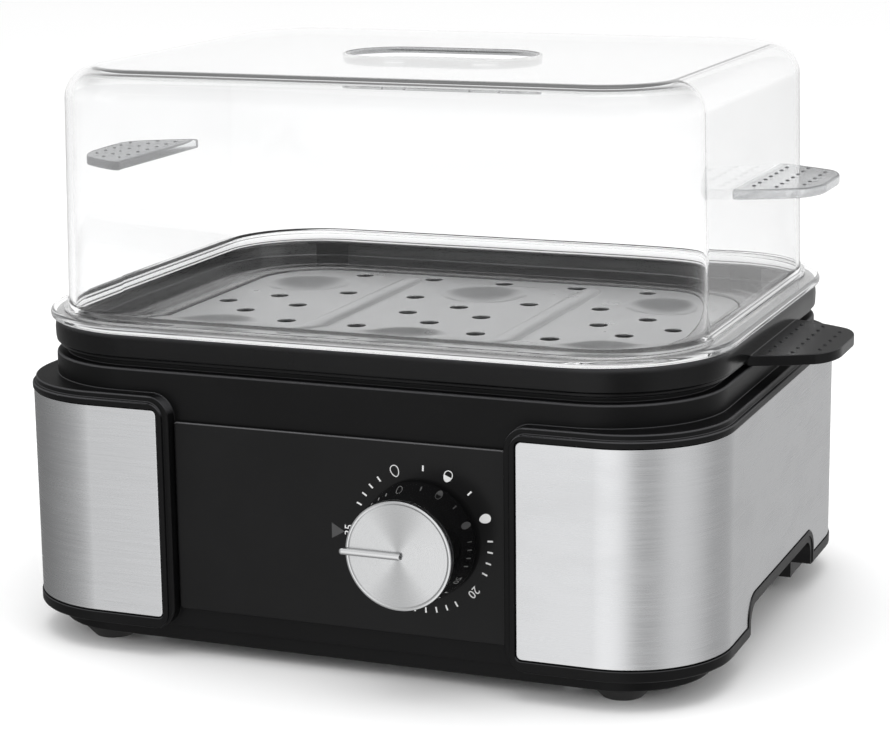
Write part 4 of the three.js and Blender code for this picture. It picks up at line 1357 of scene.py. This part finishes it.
class COOKER_OT_tray(Operator):
    """Builds the egg tray's black rim, with its ledge, locating rib and finger tabs"""

    bl_idname = "cooker.tray"
    bl_label = "Build Egg Tray"

    def execute(self, context):
        sizes = context.scene.cooker_tray
        rim = Outline(*sizes.rim)
        opening = Outline(*sizes.opening)
        plate = Outline(*sizes.plate)
        bowl = Outline(*context.scene.cooker_base.bowl)
        low, step, top = sizes.rim_low, sizes.rim_step, TRAY_HIGH.z
        tray = block(
            "tray_rim",
            [
                (rim.inset(0.0018), low),
                (rim.inset(0.0014), low + 0.0003),
                (rim.inset(0.0013), step - 0.0002),
                (rim.inset(0.0011), step),
                (rim.inset(0.0003), step + 0.0004),
                (rim.inset(0.0001), step + 0.0016),
                (rim, (step + top) / 2),
                (rim.inset(0.0001), top - 0.0028),
                (rim.inset(0.0003), top - 0.0016),
                (rim.inset(0.0007), top - 0.0006),
                (rim.inset(0.0012), top - 0.00015),
                (rim.inset(0.0018), top),
            ],
        )
        locator = bowl.inset(LOCATOR_GAP)
        join(tray, block("locator", rounded_levels(locator, TRAY_LOW.z, low + PAST, 0.0006)))
        for _, sign in SIDES:
            tab_low = sizes.tab_top - sizes.tab_thickness
            root, reach = rim.half_x - 0.004, TRAY_HIGH.x
            join(tray, tab_piece("tab", sizes, root, reach, tab_low, sizes.tab_thickness, sign))
        outer_z, inner_z = sizes.ledge_outer, sizes.ledge_inner
        fall = (outer_z - inner_z) / LEDGE_STRIPES
        inside = [(opening.inset(-0.0006), top + PAST), (opening.inset(-0.0003), top - 0.0002)]
        inside += [(opening, top - 0.0008), (opening.inset(0.0001), outer_z + 0.0002)]
        inside.append((opening.inset(0.0004), outer_z - 0.00005))
        edge = plate.inset(-0.0009)
        for stripe in range(LEDGE_STRIPES):
            height = outer_z - 0.0001 - stripe * fall
            for along, drop in STRIPE_LEVELS:
                share = (stripe + along) / LEDGE_STRIPES
                inside.append((between(opening, edge, share), height - fall * drop))
        inside += [(edge, inner_z), (plate.inset(-0.0005), inner_z - 0.0003)]
        inside += [(plate.inset(-0.0005), sizes.seat)]
        cut(tray, block("inside", inside))
        through = plate.inset(0.004)
        cut(tray, block("through", [(through, TRAY_LOW.z - FAR_PAST), (through, top)]))
        hollow = locator.inset(LOCATOR_WALL)
        under = sizes.seat - LOCATOR_WALL
        cut(tray, block("hollow", [(hollow, TRAY_LOW.z - FAR_PAST), (hollow, under)]))
        soften(tray, 0.0003)
        install(tray, "egg_tray", "black_plastic", finishes["tray_black"], "tray_frame")
        polish_inside(tray, opening)
        dots = grip_dots(sizes, TRAY_HIGH.x, sizes.tab_top, -1)
        merge_meshes(dots, grip_dots(sizes, TRAY_HIGH.x, sizes.tab_top, 1))
        dots.name = "tray_grip_dots"
        soften(dots)
        install(dots, "egg_tray", "black_plastic", finishes["tray_black"])
        return {"FINISHED"}


DISH_LIP = 0.0022
DISH_STEPS = 9
RIB = (0.0042, 0.061, 0.0041)
RIB_SIDE = 0.0036
RIB_STEPS = 7
HOLE_BESIDE_MIDDLE = 0.0144
HOLE_BEFORE_MIDDLE = 0.0148
HOLE_BESIDE_RIB = (0.0138, 0.028)
EDGE_HOLE_SPACING = 0.0294
EDGE_HOLE_ROW = 0.0635


def steam_holes(sizes):
    """Centres of the steam holes: round the middle row, beside the ribs and along the edges."""
    columns = (-sizes.column, 0, sizes.column)
    beside, away = HOLE_BESIDE_RIB
    holes = [(x + side * HOLE_BESIDE_MIDDLE, 0) for x in columns for side in SIGNS]
    holes += [(x, side * HOLE_BEFORE_MIDDLE) for x in columns for side in SIGNS]
    for rib in (-sizes.column / 2, sizes.column / 2):
        holes += [(rib + a * beside, b * away) for a in SIGNS for b in SIGNS]
    steps = range(-2, 3)
    holes += [(step * EDGE_HOLE_SPACING, side * EDGE_HOLE_ROW) for step in steps for side in SIGNS]
    return holes


def dish(name, sizes, x, y, drop, reach):
    """A pressed hollow whose lip runs smoothly into the plate."""
    radius, depth, lip = sizes.dish_radius, sizes.dish_depth, DISH_LIP
    profile = [(0, -depth)]
    for step in range(1, DISH_STEPS - 1):
        share = step / DISH_STEPS
        profile.append((radius * share, -depth * (1 - share * share)))
    profile.append((radius * 0.9, -depth * 0.19))
    profile += [
        (radius + lip * 0.1, -depth * 0.055),
        (radius + lip * 0.6, -depth * 0.012),
        (radius + lip, 0),
        (radius + lip, reach),
        (0, reach),
    ]
    place = CENTRE @ Matrix.Translation((x, y, sizes.plate_top - drop))
    return turned(name, profile, place, 56)


class COOKER_OT_egg_plate(Operator):
    """Builds the steel plate with six dishes, two pressed ribs and its steam holes"""

    bl_idname = "cooker.egg_plate"
    bl_label = "Build Egg Plate"

    def execute(self, context):
        sizes = context.scene.cooker_tray
        plan_of_plate = Outline(*sizes.plate)
        top, thickness = sizes.plate_top, sizes.plate_thickness
        plate = block("steel_plate", rounded_levels(plan_of_plate, top - thickness, top, 0.0003, 0.0004))
        columns = (-sizes.column, 0, sizes.column)
        eggs = [(x, y) for x in columns for y in (-sizes.row, sizes.row)]
        for x, y in eggs:
            join(plate, dish("under", sizes, x, y, thickness, thickness * 0.6))
        rib_plan = Outline(*RIB)
        rise = PLATE_HIGH.z - top
        levels = [(rib_plan, top - 0.0005)]
        for step in range(RIB_STEPS):
            turn = QUARTER_TURN * step / RIB_STEPS
            inset = RIB_SIDE * (1 - math.cos(turn))
            levels.append((rib_plan.inset(inset), top + rise * math.sin(turn)))
        levels.append((rib_plan.inset(RIB_SIDE), PLATE_HIGH.z))
        for sign in SIGNS:
            place = CENTRE @ Matrix.Translation((sign * sizes.column / 2, 0, 0))
            join(plate, block("rib", levels, place, 8))
        for x, y in eggs:
            cut(plate, dish("hollow", sizes, x, y, 0, 2 * PAST))
        for x, y in steam_holes(sizes):
            place = CENTRE @ Matrix.Translation((x, y, 0))
            cut(plate, peg("hole", sizes.hole_radius, top - FAR_PAST, top + FAR_PAST, place, 28))
        soften(plate, 0.00022, 2, 50)
        install(plate, "egg_tray", "plate_steel", finishes["plate_steel"], "egg_plate")
        return {"FINISHED"}


# ---- Lid ---------------------------------------------------------------------------------------


LID_EDGE_STEPS = 10


def lid_levels(sizes, inset, start, top):
    """The lid's wall from start up, with its rounded top edge."""
    foot = Outline(*sizes.foot)
    radius = sizes.edge_radius - inset
    springing = top - radius
    rise = LID_HIGH.z - sizes.flange_height
    levels = []
    for step in range(LID_EDGE_STEPS + 1):
        turn = QUARTER_TURN * step / LID_EDGE_STEPS
        height = springing + radius * math.sin(turn)
        lean = sizes.draft * (height - sizes.flange_height) / rise
        levels.append((foot.inset(inset + lean + radius * (1 - math.cos(turn))), height))
    return start + levels


class COOKER_OT_lid(Operator):
    """Builds the clear lid with its stepped flange, top recess and steam holes"""

    bl_idname = "cooker.lid"
    bl_label = "Build Lid"

    def execute(self, context):
        sizes = context.scene.cooker_lid
        flange = Outline(*sizes.flange)
        foot = Outline(*sizes.foot)
        wall = sizes.wall
        low, ledge, top = LID_LOW.z, sizes.flange_height, LID_HIGH.z
        shell = block("clear_lid", rounded_levels(flange, low, ledge, 0.0009, 0.0013))
        start = [
            (foot.inset(-0.0018), ledge - 0.001),
            (foot.inset(-0.0018), ledge + 0.0009),
            (foot.inset(-0.0014), ledge + 0.0013),
            (foot.inset(-0.0002), ledge + 0.0022),
            (foot, ledge + 0.0036),
        ]
        join(shell, block("walls", lid_levels(sizes, 0, start, top)))
        inner_start = [
            (foot.inset(wall - 0.0015), low - PAST),
            (foot.inset(wall - 0.0012), ledge),
            (foot.inset(wall), ledge + 0.002),
        ]
        inside = block("inside", lid_levels(sizes, wall, inner_start, top - wall))
        recess = Outline(
            sizes.recess_half_length, sizes.recess_half_width, sizes.recess_half_width - 0.0001
        )
        depth = sizes.recess_depth
        cup = rounded_levels(recess.inset(-wall * 0.6), top - depth - wall, top, 0.0008, 0)
        cut(inside, block("cup", cup, CENTRE, 12))
        cut(shell, inside)
        hollow = [
            (recess.inset(0.0016), top - depth),
            (recess.inset(0.0008), top - depth + 0.0002),
            (recess.inset(0.0003), top - depth + 0.0008),
            (recess, top - 0.0010),
            (recess.inset(-0.0003), top - 0.0003),
            (recess.inset(-0.0009), top + 0.00005),
            (recess.inset(-0.0009), top + PAST),
        ]
        cut(shell, block("hollow", hollow, CENTRE, 12))
        vent = Outline(sizes.steam_radius + 0.0014, sizes.steam_radius, sizes.steam_radius - 0.00005)
        for sign in SIGNS:
            place = CENTRE @ Matrix.Translation((sign * sizes.steam_offset, 0, 0))
            levels = [(vent, top - 2 * FAR_PAST), (vent, top + FAR_PAST)]
            cut(shell, block("vent", levels, place, 8))
        soften(shell, 0.0002, 2)
        install(shell, "lid", "clear_plastic", finishes["clear_plastic"], "lid_shell")
        return {"FINISHED"}


class COOKER_OT_lid_tabs(Operator):
    """Builds the two grey clear finger tabs of the lid, with their grip dots"""

    bl_idname = "cooker.lid_tabs"
    bl_label = "Build Lid Tabs"

    def execute(self, context):
        sizes = context.scene.cooker_tray
        for name, sign in SIDES:
            node = "lid_tab_" + name
            low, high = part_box(node)
            reach = max(abs(low.x), abs(high.x))
            root = min(abs(low.x), abs(high.x))
            piece = tab_piece("grey_tab_" + name, sizes, root, reach, low.z, high.z - low.z, sign)
            soften(piece, 0.0007, 4)
            install(piece, "lid", "grey_clear_plastic", finishes["grey_clear"], node)
            dots = grip_dots(sizes, reach, high.z, sign)
            dots.name = "lid_grip_dots_" + name
            soften(dots)
            # Painted shade: the dots are coloured dark grey.
            install(dots, "lid", "grey_clear_plastic", finishes["grip_dots"])
        return {"FINISHED"}


# ---- Kept parts and stage ----------------------------------------------------------------------


class COOKER_OT_kept_parts(Operator):
    """Gives each part that is shown as it stands its own finish"""

    bl_idname = "cooker.kept_parts"
    bl_label = "Finish Kept Parts"

    def execute(self, context):
        kept = {
            "black_plastic": "satin_black",
            "screw_steel": "screw_steel",
            "aluminium_parts": "aluminium",
            "ceramic_white": "ceramic",
            "wire_sleeve": "wire_sleeve",
            "spun_metal": "bright_metal",
        }
        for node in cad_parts.values():
            if node.hide_render:
                continue
            for slot in node.material_slots:
                slot.material = finishes[kept[slot.material.name]]
        return {"FINISHED"}


def soft_light(name, size_x, size_y, power, place):
    """A broad lamp aimed at the cooker, that no reflection shows."""
    data = bpy.data.lights.new(name, "AREA")
    data.shape = "RECTANGLE"
    data.size = size_x
    data.size_y = size_y
    data.energy = power
    lamp = bpy.data.objects.new(name, data)
    lamp.location = place
    lamp.rotation_euler = (LIGHT_AIM - Vector(place)).to_track_quat("-Z", "Y").to_euler()
    lamp.visible_glossy = False
    bpy.context.scene.collection.objects.link(lamp)


LIGHT_AIM = Vector((0, 0, 0.09))
# Name, width, depth, power and place of each lamp.
LIGHTS = (
    ("top_light", 1.4, 1.2, 9, (0.1, -0.1, 1.5)),
    ("left_light", 0.9, 1.1, 5, (-1.3, -1.0, 0.8)),
    ("right_light", 0.8, 1.0, 3, (1.5, -0.5, 0.7)),
)

# What the metal mirrors: brightness of the studio's cards by their angle round the cooker,
# from the front towards the right.
CARDS = (
    (-180, 0.40),
    (-160, 0.24),
    (-100, 0.26),
    (-60, 0.42),
    (-32, 0.60),
    (-28, 0.90),
    (-22, 1.28),
    (-17, 1.45),
    (8, 1.45),
    (16, 1.24),
    (25, 0.50),
    (48, 0.52),
    (60, 0.92),
    (76, 0.98),
    (104, 0.72),
    (113, 0.48),
    (150, 0.56),
    (168, 0.84),
    (180, 0.55),
)
BRIGHTEST_CARD = 1.5
SURROUNDINGS = 1.03
OVERHEAD = grey(0.66)
SWEEP = grey(0.7)
SWEEP_CEILING = grey(0.18)
SWEEP_TABLE = grey(0.33)
FLOOR_HALF_SIZE = 6
SENSOR_WIDTH = 36


def studio_world():
    """White surroundings, with brighter and darker cards that only the reflections show.

    Rays that pass the polished lid or mirror in it see a plain white sweep and a dimmer ceiling.
    """
    world = bpy.data.worlds.new("studio")
    world.use_nodes = True
    tree = world.node_tree
    white = tree.nodes["Background"]
    white.inputs["Color"].default_value = (1, 1, 1, 1)
    white.inputs["Strength"].default_value = SURROUNDINGS
    place = add(tree, "ShaderNodeTexCoord")
    split = add(tree, "ShaderNodeSeparateXYZ")
    tree.links.new(place.outputs["Generated"], split.inputs["Vector"])
    front = maths(tree, "MULTIPLY", split.outputs["Y"], -1.0)
    turn = maths(tree, "ARCTAN2", split.outputs["X"], front)
    ramp = add(tree, "ShaderNodeValToRGB")
    tree.links.new(remap(tree, turn, -math.pi, math.pi), ramp.inputs["Fac"])
    stops = ramp.color_ramp.elements
    stops.remove(stops[1])
    stops[0].position = 0
    for index, (degrees, brightness) in enumerate(CARDS):
        stop = stops[0] if index == 0 else stops.new(0.5 + degrees / 360)
        level = brightness / BRIGHTEST_CARD
        stop.color = (level, level, level, 1)
    overhead = remap(tree, split.outputs["Z"], 0.35, 0.8)
    around = blend_colours(tree, overhead, ramp.outputs["Color"], OVERHEAD)
    ceiling = remap(tree, split.outputs["Z"], 0.26, 0.48)
    sweep = blend_colours(tree, ceiling, SWEEP, SWEEP_CEILING)
    table = remap(tree, split.outputs["Z"], -0.02, -0.12)
    sweep = blend_colours(tree, table, sweep, SWEEP_TABLE)
    path = add(tree, "ShaderNodeLightPath")
    seen = blend_colours(tree, path.outputs["Is Singular Ray"], around, sweep)
    cards = add(tree, "ShaderNodeBackground")
    tree.links.new(seen, cards.inputs["Color"])
    cards.inputs["Strength"].default_value = BRIGHTEST_CARD
    mix = add(tree, "ShaderNodeMixShader")
    tree.links.new(path.outputs["Is Glossy Ray"], mix.inputs["Fac"])
    tree.links.new(white.outputs["Background"], mix.inputs[1])
    tree.links.new(cards.outputs["Background"], mix.inputs[2])
    tree.links.new(mix.outputs["Shader"], tree.nodes["World Output"].inputs["Surface"])
    return world


class COOKER_OT_stage(Operator):
    """Builds the floor, the soft light and the camera"""

    bl_idname = "cooker.stage"
    bl_label = "Build Stage"

    def execute(self, context):
        scene = context.scene
        settings = scene.cooker_stage
        bm = bmesh.new()
        bmesh.ops.create_grid(bm, x_segments=1, y_segments=1, size=FLOOR_HALF_SIZE)
        floor = as_piece("floor", bm)
        ground = Finish("floor_paper")
        tone = tuple(scene.cooker_colours.floor)
        paper = noise(ground.tree, object_space(ground.tree), 3.0)
        ground.colour_from(paper, shade(tone, 0.995), tone)
        ground.roughness_from(paper, 0.8, 0.9)
        floor.data.materials.append(ground.material)
        floor.visible_glossy = False
        scene.world = studio_world()
        for light in LIGHTS:
            soft_light(*light)

        lens = bpy.data.cameras.new("view")
        lens.lens = settings.lens
        lens.sensor_width = SENSOR_WIDTH
        camera = bpy.data.objects.new("view", lens)
        turn, rise = settings.azimuth, settings.elevation
        ahead = Vector(
            (-math.sin(turn) * math.cos(rise), math.cos(turn) * math.cos(rise), -math.sin(rise))
        )
        camera.location = Vector(settings.target) - ahead * settings.distance
        facing = ahead.to_track_quat("-Z", "Y") @ Quaternion((0, 0, 1), settings.roll)
        camera.rotation_euler = facing.to_euler()
        scene.collection.objects.link(camera)
        scene.camera = camera
        scene.view_settings.view_transform = "Standard"
        return {"FINISHED"}


# ---- Add-on ------------------------------------------------------------------------------------

SETTINGS = (
    ("cooker_base", BaseSizes),
    ("cooker_knob", KnobSizes),
    ("cooker_tray", TraySizes),
    ("cooker_lid", LidSizes),
    ("cooker_colours", FinishColours),
    ("cooker_stage", StageSettings),
)

OPERATORS = (
    COOKER_OT_finishes,
    COOKER_OT_housing,
    COOKER_OT_steel_sides,
    COOKER_OT_panels,
    COOKER_OT_feet,
    COOKER_OT_bowl,
    COOKER_OT_inlet,
    COOKER_OT_knob,
    COOKER_OT_dial,
    COOKER_OT_tray,
    COOKER_OT_egg_plate,
    COOKER_OT_lid,
    COOKER_OT_lid_tabs,
    COOKER_OT_kept_parts,
    COOKER_OT_stage,
)


class COOKER_PT_sidebar(Panel):
    """Lists the steps that build the egg cooker"""

    bl_idname = "COOKER_PT_sidebar"
    bl_label = "Egg Cooker"
    bl_space_type = "VIEW_3D"
    bl_region_type = "UI"
    bl_category = "Egg Cooker"

    def draw(self, context):
        column = self.layout.column()
        for operator in OPERATORS:
            column.operator(operator.bl_idname)


def register():
    for name, settings in SETTINGS:
        bpy.utils.register_class(settings)
        setattr(bpy.types.Scene, name, PointerProperty(type=settings))
    for operator in OPERATORS:
        bpy.utils.register_class(operator)
    bpy.utils.register_class(COOKER_PT_sidebar)


def unregister():
    bpy.utils.unregister_class(COOKER_PT_sidebar)
    for operator in reversed(OPERATORS):
        bpy.utils.unregister_class(operator)
    for name, settings in reversed(SETTINGS):
        delattr(bpy.types.Scene, name)
        bpy.utils.unregister_class(settings)


def main():
    register()
    bpy.ops.cooker.finishes()
    bpy.ops.cooker.housing()
    bpy.ops.cooker.steel_sides()
    bpy.ops.cooker.panels()
    bpy.ops.cooker.feet()
    bpy.ops.cooker.bowl()
    bpy.ops.cooker.inlet()
    bpy.ops.cooker.knob()
    bpy.ops.cooker.dial()
    bpy.ops.cooker.tray()
    bpy.ops.cooker.egg_plate()
    bpy.ops.cooker.lid()
    bpy.ops.cooker.lid_tabs()
    bpy.ops.cooker.kept_parts()
    bpy.ops.cooker.stage()


if __name__ == "__main__":
    main()
